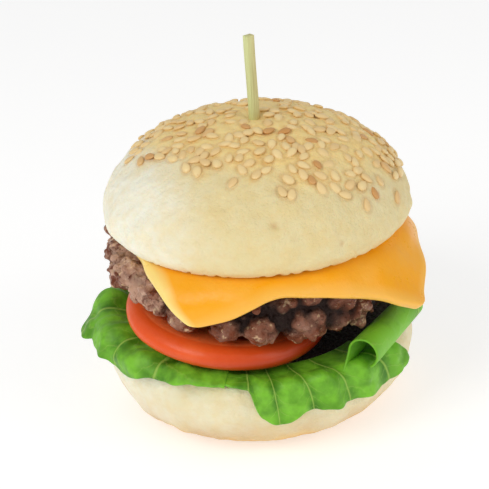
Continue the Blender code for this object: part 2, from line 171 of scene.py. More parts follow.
# Skewer
SKEWER_X = (SKEWER_LOW.x + SKEWER_HIGH.x) / 2
SKEWER_TURN = 35.0
SKEWER_LEAN = 1.5
SKEWER_POINT = 7 * MM
SKEWER_TIP_SHARE = 0.25
SKEWER_BEND = 0.12 * MM

# Lettuce
LEAF_BASE_Z = HEEL_TOP_Z + 0.75 * MM
LEAF_BEND = 3.8 * MM
Leaf = namedtuple("Leaf", "stations inner waves ruffle ruffle_start phase slant ribs folds")

# Leaf stations: angle, height at the rim, radius at the rim, droop in degrees, length that hangs
LEFT_LEAF = Leaf(in_mm((
    (-124, 29.0, 40.5, 60, 2.0),
    (-106, 30.8, 40.0, 50, 0.8),
    (-96, 31.8, 41.0, 48, 1.4),
    (-88.5, 32.4, 42.0, 48, 4.0),
    (-84, 32.2, 42.8, 46, 9.4),
    (-80, 32.0, 43.0, 48, 9.2),
    (-76, 31.2, 42.6, 58, 5.4),
    (-64, 30.0, 42.3, 80, 4.0),
    (-52, 29.0, 42.2, 86, 3.2),
    (-38, 28.5, 42.2, 80, 0.6),
    (-12, 27.0, 42.0, 50, 0.3),
), 1, 2, 4), inner=24 * MM, waves=4.5, ruffle=0.8 * MM, ruffle_start=0.5, phase=0.6, slant=0,
    ribs=(0.15, 0.38, 0.58, 0.76),
    folds=in_mm(((0.51, 0.045, 2.2), (0.70, 0.045, 1.8), (0.30, 0.05, 1.6), (0.84, 0.04, 0.8),
                 (0.12, 0.05, 1.0)), 2))
FRONT_LEAF = Leaf(in_mm((
    (-15, 26.6, 41.8, 30, 0.2),
    (-4, 26.6, 41.8, 50, 0.4),
    (0.5, 26.6, 41.8, 88, 6.4),
    (6, 26.6, 41.8, 88, 9.2),
    (16, 26.5, 41.8, 88, 5.6),
    (30, 26.4, 42.3, 88, 6.0),
    (46, 26.4, 42.7, 88, 6.0),
    (58, 26.4, 43.0, 88, 5.0),
    (64, 26.4, 43.1, 86, 3.6),
), 1, 2, 4), inner=33 * MM, waves=5.0, ruffle=0.6 * MM, ruffle_start=0.68, phase=2.2, slant=12,
    ribs=(0.144, 0.272, 0.426, 0.60, 0.836),
    folds=in_mm(((0.53, 0.035, 1.2), (0.70, 0.05, 1.2), (0.35, 0.04, 0.8), (0.21, 0.035, 0.6),
                 (0.90, 0.03, 0.6)), 2))
BACK_LEAF = Leaf(in_mm((
    (102, 29.0, 42.5, 74, 2.5),
    (122, 29.8, 42.5, 76, 7.0),
    (148, 32.2, 42.5, 80, 6.5),
    (176, 34.8, 42.5, 70, 11.0),
    (202, 37.0, 42.5, 78, 9.0),
    (220, 36.5, 42.5, 66, 9.0),
    (233, 31.0, 42.0, 60, 5.0),
), 1, 2, 4), inner=25 * MM, waves=6.0, ruffle=2.2 * MM, ruffle_start=0.6, phase=0.0, slant=0,
    ribs=(0.10, 0.23, 0.36, 0.50, 0.64, 0.78, 0.90),
    folds=in_mm(((0.16, 0.05, 1.5), (0.30, 0.04, -1.5), (0.57, 0.06, 1.6), (0.71, 0.04, -1.4)), 2))

# The rolled leaf on the right lies straight from front to back: a wall that stands up and curls over
ROLL_FRONT = Vector((27.6 * MM, -36.8 * MM, 30.6 * MM))
ROLL_BACK = Vector((44.2 * MM, -7.0 * MM, 30.2 * MM))
ROLL_RADII = (4.2 * MM, 3.4 * MM)
ROLL_WALL_FOOT_Z = 27.7 * MM
ROLL_WRAP = 250.0
ROLL_FLARE = 4.5 * MM
ROLL_RIBS = (0.9,)
LEAF_CELL = 0.65 * MM
LEAF_DENTS = in_mm(((8, 1.1), (3.2, 0.75), (1.5, 0.2)), 0, 1)
LEAF_LOWEST = 0.1 * MM
RIB_MARGIN = 0.15

# Camera and studio
CAMERA_TARGET = Vector((0, 0, 42 * MM))
CAMERA_DISTANCE = 0.46
CAMERA_ELEVATION = 26.0
CAMERA_ROLL = 2.8
PICTURE_SIDE = 489
PIXELS_PER_METRE = 3420
OPTICAL_CENTRE = (257.5, 263.0)
KEY_PLACE = Vector((-0.46, -0.50, 0.58))
FILL_PLACE = Vector((0.55, -0.3, 0.4))


def srgb(red, green, blue):
    """A colour given as it looks on a screen, 0 to 255, in the linear values that shaders use."""
    shares = [value / 255 for value in (red, green, blue)]
    return tuple(s / 12.92 if s <= 0.04045 else ((s + 0.055) / 1.055) ** 2.4 for s in shares)


def distance(name, description, default):
    """A length that a user may change."""
    return FloatProperty(name=name, description=description, default=default, min=0.0,
                         precision=5, subtype="DISTANCE", unit="LENGTH")


def tint(name, description, default):
    """A colour that a user may change."""
    return FloatVectorProperty(name=name, description=description, default=default, size=3,
                               min=0.0, max=1.0, subtype="COLOR")


class BunSettings(bpy.types.PropertyGroup):
    """Sizes and colours of the bun."""
    radius: distance("Radius", "Half of the bun's width", 44 * MM)
    crown_rise: distance("Crown rise", "Height of the dome above its widest ring", 25.7 * MM)
    # The pale crust is partly flour and partly painted light on the bun's left side.
    pale: tint("Pale crust", "Colour of the floury sides", srgb(249, 246, 226))
    cream: tint("Cream crust", "Colour of the sides where no flour lies", srgb(233, 217, 165))
    golden: tint("Golden crust", "Colour of the top under the seeds", srgb(250, 222, 152))
    toasted: tint("Toasted crust", "Colour of the darkest spots", srgb(204, 152, 92))


class SeedSettings(bpy.types.PropertyGroup):
    """Sizes and colours of the sesame seeds."""
    count: IntProperty(name="Count", description="How many seeds lie on the crown", default=305, min=1)
    length: distance("Length", "Length of a seed", 3.85 * MM)
    width: distance("Width", "Width of a seed", 2.45 * MM)
    height: distance("Height", "Thickness of a seed", 1.15 * MM)
    pale: tint("Pale seed", "Colour of a plain seed", srgb(245, 218, 158))
    toasted: tint("Toasted seed", "Colour of the brownest seeds", srgb(206, 146, 78))


class PattySettings(bpy.types.PropertyGroup):
    """Sizes and colours of the beef patty."""
    radius: distance("Radius", "Half of the patty's width", 43.5 * MM)
    seared: tint("Seared", "Colour of the browned surface", srgb(116, 58, 32))
    grey: tint("Cooked", "Colour of the cooked meat between", srgb(204, 162, 138))
    # Painted shade: the near-black colour for the patty's cracks and for the dark patch on the heel's top.
    deep_shade: tint("Juice", "Colour of the cracks", srgb(34, 13, 6))
    fat: tint("Fat", "Colour of the fat flecks", srgb(224, 190, 150))


class CheeseSettings(bpy.types.PropertyGroup):
    """Sizes and colours of the cheese slice."""
    side: distance("Side", "Side of the square slice", 83 * MM)
    thickness: distance("Thickness", "Thickness of the slice", 3.1 * MM)
    colour: tint("Cheese", "Colour of the cheese", srgb(252, 170, 0))
    # The pale cheese colour is for random pale patches and for the painted highlight along the edges.
    pale: tint("Pale cheese", "Colour where it is thin or has melted", srgb(255, 228, 140))


class TomatoSettings(bpy.types.PropertyGroup):
    """Sizes and colours of the tomato slice."""
    radius: distance("Radius", "Half of the slice's width", 29 * MM)
    thickness: distance("Thickness", "Thickness of the slice", 7.4 * MM)
    skin: tint("Skin", "Colour of the skin", srgb(232, 82, 18))
    flesh: tint("Flesh", "Colour of the cut faces", srgb(254, 116, 58))
    # Painted shade: the darker skin colour low on the right, away from the light.
    ripe: tint("Ripe skin", "Colour of the darker skin low on the right", srgb(142, 28, 2))
    pale: tint("Pale flesh", "Colour just under the skin and of the core", srgb(255, 160, 110))


class LettuceSettings(bpy.types.PropertyGroup):
    """Sizes and colours of the lettuce."""
    thickness: distance("Thickness", "Thickness of a leaf", 0.7 * MM)
    crinkle: distance("Crinkle", "How far the blade puffs out between the ribs", 0.6 * MM)
    # The light and dark leaf colours mix in random patches, and as painted light on the raised blade and
    # painted shade in the hollows by the ribs.
    light: tint("Light leaf", "Colour of the blade's raised parts", srgb(134, 206, 52))
    dark: tint("Dark leaf", "Colour of the blade's hollows", srgb(48, 106, 6))
    rib: tint("Rib", "Colour of the ribs", srgb(176, 210, 96))


class SkewerSettings(bpy.types.PropertyGroup):
    """Sizes and colours of the bamboo skewer."""
    width: distance("Width", "Wider side of the split stick", 2.6 * MM)
    depth: distance("Depth", "Narrower side of the split stick", 2.0 * MM)
    green: tint("Rind side", "Colour of the side that was near the rind", srgb(214, 220, 156))
    straw: tint("Straw side", "Colour of the inner wood", srgb(212, 200, 140))


class StudioSettings(bpy.types.PropertyGroup):
    """The floor and the lights."""
    floor: tint("Floor", "Colour of the floor", srgb(218, 218, 218))
    key_power: FloatProperty(name="Key light", description="Power of the light from the left, in watts",
                             default=2.6, min=0.0, unit="POWER")
    fill_power: FloatProperty(name="Fill light", description="Power of the light from the right, in watts",
                              default=1.0, min=0.0, unit="POWER")
    sky: FloatProperty(name="Sky", description="Strength of the even light from all round", default=0.5,
                       min=0.0)
    glow: FloatProperty(name="Floor glow", description="Light that the floor gives off, like a lit sweep",
                        default=0.7, min=0.0)


# Shapes


def lerp(a, b, t):
    return a + (b - a) * t


def ease(t):
    """Smooth step from 0 to 1."""
    t = min(1.0, max(0.0, t))
    return t * t * (3 - 2 * t)


def arc(centre_r, centre_z, radius_r, radius_z, start, end, steps, squareness=2.0):
    """Points (radius, height) along an elliptical arc, angles in degrees from straight out.

    Squareness above 2 fills the arc out towards a box, and below 2 it flattens it towards a cone.
    """
    points = []
    for i in range(steps + 1):
        a = math.radians(lerp(start, end, i / steps))
        along, up = max(0.0, math.cos(a)), abs(math.sin(a))
        along, up = along ** (2 / squareness), math.copysign(up ** (2 / squareness), math.sin(a))
        points.append((centre_r + radius_r * along, centre_z + radius_z * up))
    return points


def flat_run(start, end, z, steps):
    """Points (radius, height) along a level line, without its last point."""
    return [(lerp(start, end, i / steps), z) for i in range(steps)]


def spun(profile, segments):
    """Spin a profile of (radius, height) points about Z. Its ends lie on the axis."""
    bm = bmesh.new()
    verts = [bm.verts.new((r, 0, z)) for r, z in profile]
    edges = [bm.edges.new(pair) for pair in zip(verts, verts[1:])]
    bmesh.ops.spin(bm, geom=verts + edges, cent=(0, 0, 0), axis=(0, 0, 1),
                   angle=math.tau, steps=segments, use_merge=True)
    bmesh.ops.remove_doubles(bm, verts=bm.verts, dist=TINY)
    bmesh.ops.recalc_face_normals(bm, faces=bm.faces)
    return bm


def around(angle, radius, z):
    """A place at an angle from the front of the burger."""
    a = math.radians(angle)
    return Vector((HEEL_X + radius * math.sin(a), -radius * math.cos(a), z))


def at_angle(stations, angle):
    """The values of a row of stations at an angle, eased between neighbours."""
    for low, high in zip(stations, stations[1:]):
        if angle <= high[0]:
            break
    t = ease((angle - low[0]) / (high[0] - low[0]))
    return [lerp(a, b, t) for a, b in zip(low[1:], high[1:])]


def float_layer(bm, name):
    """A value on each vertex that a material reads by name."""
    return bm.verts.layers.float.get(name) or bm.verts.layers.float.new(name)


def to_object(name, bm, *materials):
    """Put a bmesh in the scene as a named object, shaded smooth."""
    mesh = bpy.data.meshes.new(name)
    bm.to_mesh(mesh)
    bm.free()
    mesh.shade_smooth()
    for mat in materials:
        mesh.materials.append(mat)
    obj = bpy.data.objects.new(name, mesh)
    bpy.context.scene.collection.objects.link(obj)
    return obj


def dress(piece, node_name):
    """Make a piece stand for a solid of the frame."""
    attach(piece, "root")
    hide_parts(node_name)
    return piece


def subdivided(obj, levels):
    """Finish a piece with smooth subdivision."""
    modifier = obj.modifiers.new("smooth", "SUBSURF")
    modifier.levels = levels
    modifier.render_levels = levels
    return modifier


def thickened(obj, thickness):
    """Give a surface its thickness, evenly on both sides."""
    modifier = obj.modifiers.new("thickness", "SOLIDIFY")
    modifier.thickness = thickness
    modifier.offset = 0.0
    return modifier


def baked(obj):
    """Replace an object's mesh by what its modifiers make of it."""
    shape = obj.evaluated_get(bpy.context.evaluated_depsgraph_get())
    mesh = bpy.data.meshes.new_from_object(shape)
    old = obj.data
    obj.modifiers.clear()
    obj.data = mesh
    bpy.data.meshes.remove(old)
    return mesh


# Materials


def add(tree, kind, inputs, **settings):
    """Add a node to a tree. Each input is given a value, or a socket to be linked from."""
    made = tree.nodes.new(kind)
    for key, value in settings.items():
        setattr(made, key, value)
    for key, value in inputs.items():
        feed(tree, made.inputs[key], value)
    return made


def feed(tree, socket, value):
    """Set an input, or link it from another node's output."""
    if isinstance(value, bpy.types.NodeSocket):
        tree.links.new(value, socket)
    elif isinstance(value, (int, float)) or len(value) == 4 or socket.type == "VECTOR":
        socket.default_value = value
    else:
        socket.default_value = (*value, 1.0)


def calculate(tree, operation, *values):
    """A Math node's result."""
    return add(tree, "ShaderNodeMath", dict(enumerate(values)), operation=operation).outputs[0]


def mix(tree, factor, first, second, blend="MIX"):
    """A colour between two colours."""
    inputs = {0: factor, 6: first, 7: second}
    return add(tree, "ShaderNodeMix", inputs, data_type="RGBA", blend_type=blend).outputs[2]


def span(tree, value, low, high, to_low=0.0, to_high=1.0):
    """A value mapped from one range to another with soft ends."""
    inputs = {0: value, 1: low, 2: high, 3: to_low, 4: to_high}
    return add(tree, "ShaderNodeMapRange", inputs, interpolation_type="SMOOTHSTEP").outputs[0]


def stored(tree, name):
    """A value that the mesh carries on its vertices."""
    return add(tree, "ShaderNodeAttribute", {}, attribute_name=name).outputs["Fac"]


def place_of(tree):
    """The surface's own place in the burger."""
    return add(tree, "ShaderNodeTexCoord", {}).outputs["Object"]


def bump(tree, height, metres, normal=None):
    """A fine relief of a given height."""
    inputs = {"Height": height, "Distance": metres, "Strength": 1.0}
    if normal:
        inputs["Normal"] = normal
    return add(tree, "ShaderNodeBump", inputs).outputs[0]


def empty_group(name, inputs, outputs):
    """A node group with named sockets, its source of inputs and its target of outputs."""
    group = bpy.data.node_groups.new(name, "ShaderNodeTree")
    for label, kind, default in inputs:
        socket = group.interface.new_socket(label, in_out="INPUT", socket_type=kind)
        if default is not None:
            socket.default_value = default
    for label, kind in outputs:
        group.interface.new_socket(label, in_out="OUTPUT", socket_type=kind)
    source = group.nodes.new("NodeGroupInput")
    target = group.nodes.new("NodeGroupOutput")
    return group, source.outputs, target.inputs


def blots_group():
    """Soft blots of a given size that cover a share of the surface."""
    group, given, result = empty_group("soft_blots", [
        ("Place", "NodeSocketVector", None), ("Size", "NodeSocketFloat", 0.005),
        ("Cover", "NodeSocketFloat", 0.5), ("Softness", "NodeSocketFloat", 0.1),
    ], [("Mask", "NodeSocketFloat")])
    scale = calculate(group, "DIVIDE", 1.0, given["Size"])
    pattern = add(group, "ShaderNodeTexNoise", {
        "Vector": given["Place"], "Scale": scale, "Detail": 3.0, "Roughness": 0.55}).outputs[0]
    middle = calculate(group, "MULTIPLY_ADD", given["Cover"], -0.36, 0.68)
    low = calculate(group, "SUBTRACT", middle, given["Softness"])
    high = calculate(group, "ADD", middle, given["Softness"])
    feed(group, result["Mask"], span(group, pattern, low, high))
    return group


def grain_group():
    """The height of a fine irregular surface."""
    group, given, result = empty_group("fine_grain", [
        ("Place", "NodeSocketVector", None), ("Size", "NodeSocketFloat", 0.001),
    ], [("Height", "NodeSocketFloat")])
    scale = calculate(group, "DIVIDE", 1.0, given["Size"])
    pattern = add(group, "ShaderNodeTexNoise", {
        "Vector": given["Place"], "Scale": scale, "Detail": 5.0, "Roughness": 0.6}).outputs[0]
    feed(group, result["Height"], pattern)
    return group


def pores_group():
    """Round pores or grains: 0 in their middle and 1 between them, with a random value for each."""
    group, given, result = empty_group("round_pores", [
        ("Place", "NodeSocketVector", None), ("Size", "NodeSocketFloat", 0.001),
        ("Width", "NodeSocketFloat", 0.5),
    ], [("Height", "NodeSocketFloat"), ("Random", "NodeSocketFloat")])
    scale = calculate(group, "DIVIDE", 1.0, given["Size"])
    cells = add(group, "ShaderNodeTexVoronoi", {"Vector": given["Place"], "Scale": scale}, feature="F1")
    feed(group, result["Height"], span(group, cells.outputs["Distance"], 0.0, given["Width"]))
    parts = add(group, "ShaderNodeSeparateColor", {0: cells.outputs["Color"]})
    feed(group, result["Random"], parts.outputs[0])
    return group


def streaks_group():
    """Long streaks that run along Z."""
    group, given, result = empty_group("long_streaks", [
        ("Place", "NodeSocketVector", None), ("Size", "NodeSocketFloat", 0.0005),
        ("Stretch", "NodeSocketFloat", 0.04),
    ], [("Height", "NodeSocketFloat")])
    parts = add(group, "ShaderNodeSeparateXYZ", {0: given["Place"]})
    slow = calculate(group, "MULTIPLY", parts.outputs["Z"], given["Stretch"])
    squeezed = add(group, "ShaderNodeCombineXYZ", {
        "X": parts.outputs["X"], "Y": parts.outputs["Y"], "Z": slow}).outputs[0]
    scale = calculate(group, "DIVIDE", 1.0, given["Size"])
    pattern = add(group, "ShaderNodeTexNoise", {
        "Vector": squeezed, "Scale": scale, "Detail": 4.0, "Roughness": 0.6}).outputs[0]
    feed(group, result["Height"], pattern)
    return group


GROUP_MAKERS = {
    "soft_blots": blots_group,
    "fine_grain": grain_group,
    "round_pores": pores_group,
    "long_streaks": streaks_group,
}


def effect(tree, name, output, **inputs):
    """Place a shared effect in a material and give its named output."""
    group = bpy.data.node_groups.get(name) or GROUP_MAKERS[name]()
    made = tree.nodes.new("ShaderNodeGroup")
    made.node_tree = group
    for key, value in inputs.items():
        feed(tree, made.inputs[key.capitalize()], value)
    return made.outputs[output]


def blots(tree, place, size, cover, softness):
    """Soft blots over a share of the surface."""
    return effect(tree, "soft_blots", "Mask", place=place, size=size, cover=cover, softness=softness)


def grain(tree, place, size):
    """The height of a fine grain."""
    return effect(tree, "fine_grain", "Height", place=place, size=size)


def principled(name):
    """A new material with its node tree and shader."""
    mat = bpy.data.materials.new(name)
    mat.use_nodes = True
    return mat, mat.node_tree, mat.node_tree.nodes["Principled BSDF"]


def finish(tree, shader, **inputs):
    """Set or link the shader's inputs, given by name with _ for a space."""
    for key, value in inputs.items():
        feed(tree, shader.inputs[key.replace("_", " ").title()], value)


def crust_material(bun):
    """Soft crust: cream, golden on top, floury patches and painted light at the left, and seed rings of
    browning and painted shade.
    """
    mat, tree, shader = principled("bun_crust")
    place = place_of(tree)
    patches = blots(tree, place, 0.012, 0.5, 0.16)
    mottle = blots(tree, place, 0.0035, 0.45, 0.2)
    freckles = blots(tree, place, 0.0022, 0.18, 0.06)
    uneven_bake = calculate(tree, "MULTIPLY_ADD", patches, 0.3, -0.15)
    bake = calculate(tree, "ADD", stored(tree, "bake"), uneven_bake)
    uneven_flour = calculate(tree, "MULTIPLY_ADD", patches, -0.14, 0.07)
    flour_and_light = calculate(tree, "ADD", stored(tree, "flour_and_light"), uneven_flour)
    colour = mix(tree, span(tree, bake, 0.05, 0.95), bun.cream, bun.golden)
    colour = mix(tree, span(tree, flour_and_light, 0.0, 1.0), colour, bun.pale)
    colour = mix(tree, calculate(tree, "MULTIPLY", mottle, 0.24), colour, bun.golden, blend="MULTIPLY")
    toast = calculate(tree, "MULTIPLY", freckles, span(tree, bake, 0.3, 1.3, 0.0, 0.25))
    # Seed rings: partly browned crust, partly painted shade where each seed meets the crust.
    seed_rings_browned_and_shaded = calculate(tree, "MULTIPLY", stored(tree, "ring"), 0.3)
    marks = calculate(tree, "MAXIMUM", stored(tree, "spot"), seed_rings_browned_and_shaded)
    colour = mix(tree, calculate(tree, "MAXIMUM", toast, marks), colour, bun.toasted)
    wrinkles = grain(tree, place, 0.0028)
    powder = grain(tree, place, 0.0006)
    normal = bump(tree, powder, 0.08 * MM, bump(tree, wrinkles, 0.9 * MM))
    finish(tree, shader, base_color=colour, normal=normal, subsurface_weight=0.12,
           subsurface_radius=(1.0, 0.6, 0.3), subsurface_scale=2 * MM,
           roughness=span(tree, powder, 0.3, 0.7, 0.5, 0.68))
    return mat


def crumb_material(bun, deep_shade):
    """The open, toasted crumb of the cut faces, with painted shade in its pores and a dark patch of painted
    shade at the right front.
    """
    mat, tree, shader = principled("bun_crumb")
    place = place_of(tree)
    large = effect(tree, "round_pores", "Height", place=place, size=0.0026, width=0.55)
    small = effect(tree, "round_pores", "Height", place=place, size=0.0011, width=0.6)
    height = calculate(tree, "MULTIPLY", large, small)
    browned = blots(tree, place, 0.009, 0.35, 0.1)
    colour = mix(tree, calculate(tree, "MULTIPLY", browned, 0.5), bun.pale, bun.golden)
    # Painted shade in the pores: darker towards each pore's middle.
    colour = mix(tree, span(tree, height, 0.0, 0.4, 0.35, 0.0), colour, bun.toasted)
    # Painted shade: the heel's top goes dark at the right front, deep under the patty.
    soak = stored(tree, "soak")
    colour = mix(tree, span(tree, soak, 0.0, 0.5), colour, bun.toasted)
    colour = mix(tree, span(tree, soak, 0.3, 0.9), colour, deep_shade)
    finish(tree, shader, base_color=colour, normal=bump(tree, height, 0.7 * MM), roughness=0.8)
    return mat


def seed_material(seeds):
    """Hulled sesame, cream to toasted brown, darker at the pointed end."""
    mat, tree, shader = principled("sesame_seed")
    place = place_of(tree)
    roast = stored(tree, "roast")
    tip = span(tree, stored(tree, "tip"), 0.1, 1.0, 0.0, 0.45)
    flecks = blots(tree, place, 0.0012, 0.4, 0.1)
    # The darker rim is partly toasting and partly painted shade at the seed's edge.
    rim = calculate(tree, "MULTIPLY", stored(tree, "rim"), 0.22)
    share = calculate(tree, "MAXIMUM", roast, calculate(tree, "MULTIPLY", tip, flecks))
    colour = mix(tree, calculate(tree, "MAXIMUM", share, rim), seeds.pale, seeds.toasted)
    skin = grain(tree, place, 0.0004)
    finish(tree, shader, base_color=colour, normal=bump(tree, skin, 0.05 * MM),
           roughness=span(tree, skin, 0.3, 0.7, 0.3, 0.5))
    return mat


def mince_material(patty):
    """Seared mince: grains of brown and grey meat, pale fat flecks, glossy wet patches, and cracks darkened
    by painted shade.
    """
    mat, tree, shader = principled("grilled_mince")
    place = place_of(tree)
    crack_shade = stored(tree, "crack_shade")
    tone = blots(tree, place, 0.008, 0.4, 0.1)
    grains = effect(tree, "round_pores", "Random", place=place, size=0.0022)
    share = calculate(tree, "MULTIPLY_ADD", tone, 0.65, calculate(tree, "MULTIPLY_ADD", grains, 0.5, -0.12))
    share = calculate(tree, "MULTIPLY", share, stored(tree, "paleness"))
    colour = mix(tree, share, patty.seared, patty.grey)
    fat = blots(tree, place, 0.0020, 0.16, 0.05)
    colour = mix(tree, calculate(tree, "MULTIPLY", fat, 0.75), colour, patty.fat)
    # Painted shade: darker the deeper a place lies in a crack.
    colour = mix(tree, span(tree, crack_shade, 0.1, 0.6), colour, patty.deep_shade)
    fibres = grain(tree, place, 0.0014)
    seams = effect(tree, "round_pores", "Height", place=place, size=0.0015, width=0.6)
    normal = bump(tree, seams, -0.5 * MM, bump(tree, fibres, 0.8 * MM))
    wet = blots(tree, place, 0.003, 0.5, 0.08)
    shine = calculate(tree, "MULTIPLY", wet, span(tree, crack_shade, 0.05, 0.4, 1.0, 0.0))
    finish(tree, shader, base_color=colour, normal=normal,
           roughness=span(tree, shine, 0.0, 1.0, 0.65, 0.25),
           coat_weight=calculate(tree, "MULTIPLY", shine, 0.3))
    shader.inputs["Coat Roughness"].default_value = 0.2
    shader.inputs["Specular IOR Level"].default_value = 0.28
    return mat


def cheese_material(cheese):
    """Smooth satin processed cheese, paler in patches, with a painted highlight along its edges, broad at
    the left.
    """
    mat, tree, shader = principled("melted_cheese")
    place = place_of(tree)
    edge_highlight = stored(tree, "edge")
    patches = blots(tree, place, 0.014, 0.45, 0.2)
    share = calculate(tree, "MAXIMUM", calculate(tree, "MULTIPLY", patches, 0.12),
                      calculate(tree, "MULTIPLY", edge_highlight, 0.9))
    colour = mix(tree, share, cheese.colour, cheese.pale)
    ripples = grain(tree, place, 0.006)
    skin = grain(tree, place, 0.0007)
    normal = bump(tree, skin, 0.02 * MM, bump(tree, ripples, 0.35 * MM))
    finish(tree, shader, base_color=colour, normal=normal,
           roughness=span(tree, ripples, 0.3, 0.7, 0.4, 0.26),
           subsurface_weight=0.1, subsurface_radius=(1.0, 0.5, 0.05), subsurface_scale=2 * MM)
    shader.inputs["Specular IOR Level"].default_value = 0.3
    return mat


def tomato_skin_material(tomato):
    """Glossy skin with faint lengthwise streaks."""
    mat, tree, shader = principled("tomato_skin")
    place = place_of(tree)
    streaks = effect(tree, "long_streaks", "Height", place=place, size=0.0016, stretch=0.15)
    blush = blots(tree, place, 0.016, 0.45, 0.15)
    share = calculate(tree, "MULTIPLY", calculate(tree, "ADD", streaks, blush), 0.3)
    colour = mix(tree, share, tomato.skin, tomato.flesh)
    # Painted shade low on the right of the skin.
    colour = mix(tree, stored(tree, "ripe"), colour, tomato.ripe)
    # A pale line at the lower left rim: partly the pale cut edge, partly painted highlight.
    colour = mix(tree, stored(tree, "cut"), colour, tomato.pale)
    dimples = grain(tree, place, 0.002)
    finish(tree, shader, base_color=colour, normal=bump(tree, dimples, 0.12 * MM),
           roughness=span(tree, dimples, 0.3, 0.7, 0.3, 0.45), subsurface_weight=0.1,
           subsurface_radius=(1.0, 0.25, 0.1), subsurface_scale=2 * MM, coat_weight=0.08)
    shader.inputs["Coat Roughness"].default_value = 0.1
    shader.inputs["Specular IOR Level"].default_value = 0.3
    return mat


def tomato_flesh_material(tomato):
    """Wet cut flesh: a pale ring under the skin, a fibrous wall and darker jelly pockets."""
    mat, tree, shader = principled("tomato_flesh")
    place = place_of(tree)
    ring = span(tree, stored(tree, "rim"), 0.86, 0.98)
    fibres = grain(tree, place, 0.0016)
    pale = calculate(tree, "MAXIMUM", calculate(tree, "MULTIPLY", ring, 0.4),
                     span(tree, fibres, 0.5, 0.8, 0.0, 0.3))
    colour = mix(tree, pale, tomato.flesh, tomato.pale)
    colour = mix(tree, stored(tree, "pocket"), colour, tomato.skin)
    finish(tree, shader, base_color=colour, normal=bump(tree, fibres, 0.25 * MM), roughness=0.2,
           subsurface_weight=0.2, subsurface_radius=(1.0, 0.3, 0.15), subsurface_scale=2 * MM)
    return mat


def leaf_material(lettuce, name, cover):
    """Fresh leaf: pale ribs where the across value is whole, thin veins branching off, green blade."""
    mat, tree, shader = principled(name)
    place = place_of(tree)
    across, out = stored(tree, "across"), stored(tree, "out")
    far = calculate(tree, "ABSOLUTE", calculate(tree, "SUBTRACT", across, calculate(tree, "ROUND", across)))
    wobble = grain(tree, place, 0.009)
    thinning = calculate(tree, "MULTIPLY_ADD", out, 0.015, far)
    rib = span(tree, thinning, 0.02, 0.045, 1.0, 0.0)
    rows = calculate(tree, "MULTIPLY_ADD", out, 5.0, calculate(tree, "MULTIPLY", far, -2.6))
    rows = calculate(tree, "FRACT", calculate(tree, "MULTIPLY_ADD", wobble, 1.6, rows))
    from_vein = calculate(tree, "ABSOLUTE", calculate(tree, "SUBTRACT", rows, 0.5))
    vein = calculate(tree, "MULTIPLY", span(tree, from_vein, 0.0, 0.08, 0.22, 0.0),
                     span(tree, far, 0.1, 0.45, 1.0, 0.3))
    patches = blots(tree, place, 0.005, cover, 0.18)
    # Painted shade: the blade is darker near its ribs, in the hollows; the patches vary at random.
    light = calculate(tree, "MULTIPLY_ADD", patches, 0.45, span(tree, far, 0.03, 0.3, 0.1, 0.4))
    colour = mix(tree, light, lettuce.dark, lettuce.light)
    lines = calculate(tree, "MAXIMUM", calculate(tree, "MULTIPLY", rib, 0.55), vein)
    colour = mix(tree, lines, colour, lettuce.rib)
    pores = grain(tree, place, 0.0011)
    normal = bump(tree, pores, 0.06 * MM, bump(tree, lines, 0.25 * MM))
    finish(tree, shader, base_color=colour, normal=normal, roughness=span(tree, pores, 0.3, 0.7, 0.4, 0.55),
           subsurface_weight=0.08, subsurface_radius=(0.4, 1.0, 0.1), subsurface_scale=1 * MM)
    shader.inputs["Specular IOR Level"].default_value = 0.3
    return mat


def bamboo_material(skewer):
    """Split bamboo with fine fibres, greener on the side that was near the rind."""
    mat, tree, shader = principled("split_bamboo")
    place = place_of(tree)
    fibres = effect(tree, "long_streaks", "Height", place=place, size=0.00035, stretch=0.02)
    bands = effect(tree, "long_streaks", "Height", place=place, size=0.0011, stretch=0.08)
    side = calculate(tree, "ADD", stored(tree, "rind"), calculate(tree, "MULTIPLY_ADD", bands, 0.6, -0.3))
    colour = mix(tree, side, skewer.straw, skewer.green)
    colour = mix(tree, span(tree, fibres, 0.42, 0.7, 0.0, 0.4), colour, srgb(150, 132, 70))
    finish(tree, shader, base_color=colour, normal=bump(tree, fibres, 0.12 * MM),
           roughness=span(tree, fibres, 0.3, 0.7, 0.42, 0.6))
    return mat


def floor_material(studio):
    """Plain pale board with the faintest unevenness."""
    mat, tree, shader = principled("studio_floor")
    cloud = grain(tree, place_of(tree), 0.4)
    finish(tree, shader, base_color=studio.floor, roughness=span(tree, cloud, 0.3, 0.7, 0.75, 0.85),
           emission_color=studio.floor, emission_strength=studio.glow)
    return mat


# Bun


def uneven(bm, base_z, radius):
    """Push a bun's wall in and out, broadly and in small dents, but not its flat face at base_z."""
    bm.normal_update()
    for v in bm.verts:
        fade = ease(abs(v.co.z - base_z) / BUN_MARGIN)
        place = v.co.copy()
        dents = sum(depth * noise.noise(place / size) for size, depth in BUN_DENTS)
        upright = Vector((place.x, place.y, 0.3 * place.z)) / BUN_CREASE
        crease = BUN_CREASE_DEPTH * noise.noise(upright) * (1 - ease(abs(place.z - base_z) / (15 * MM)))
        v.co += v.normal * (dents + crease) * fade
        v.co.xy *= 1 + fade * BUN_UNEVENNESS / radius * noise.noise(place / BUN_WAVE)


def crown_surface(direction, bun):
    """Where a direction from the middle of the crown's widest ring meets the dome."""
    k = CROWN_SQUARENESS
    across = math.hypot(direction.x, direction.y)
    reach = (across ** k + max(0.0, direction.z) ** k) ** (-1 / k)
    scaled = Vector((direction.x * bun.radius, direction.y * bun.radius, direction.z * bun.crown_rise))
    return scaled * reach + Vector((CROWN_X, 0, CROWN_WIDEST_Z))


def crown_outward(place, bun):
    """The way out of the dome at a place on it."""
    from_middle = place - Vector((CROWN_X, 0, CROWN_WIDEST_Z))
    return Vector((from_middle.x / bun.radius ** 2, from_middle.y / bun.radius ** 2,
                   from_middle.z / bun.crown_rise ** 2)).normalized()


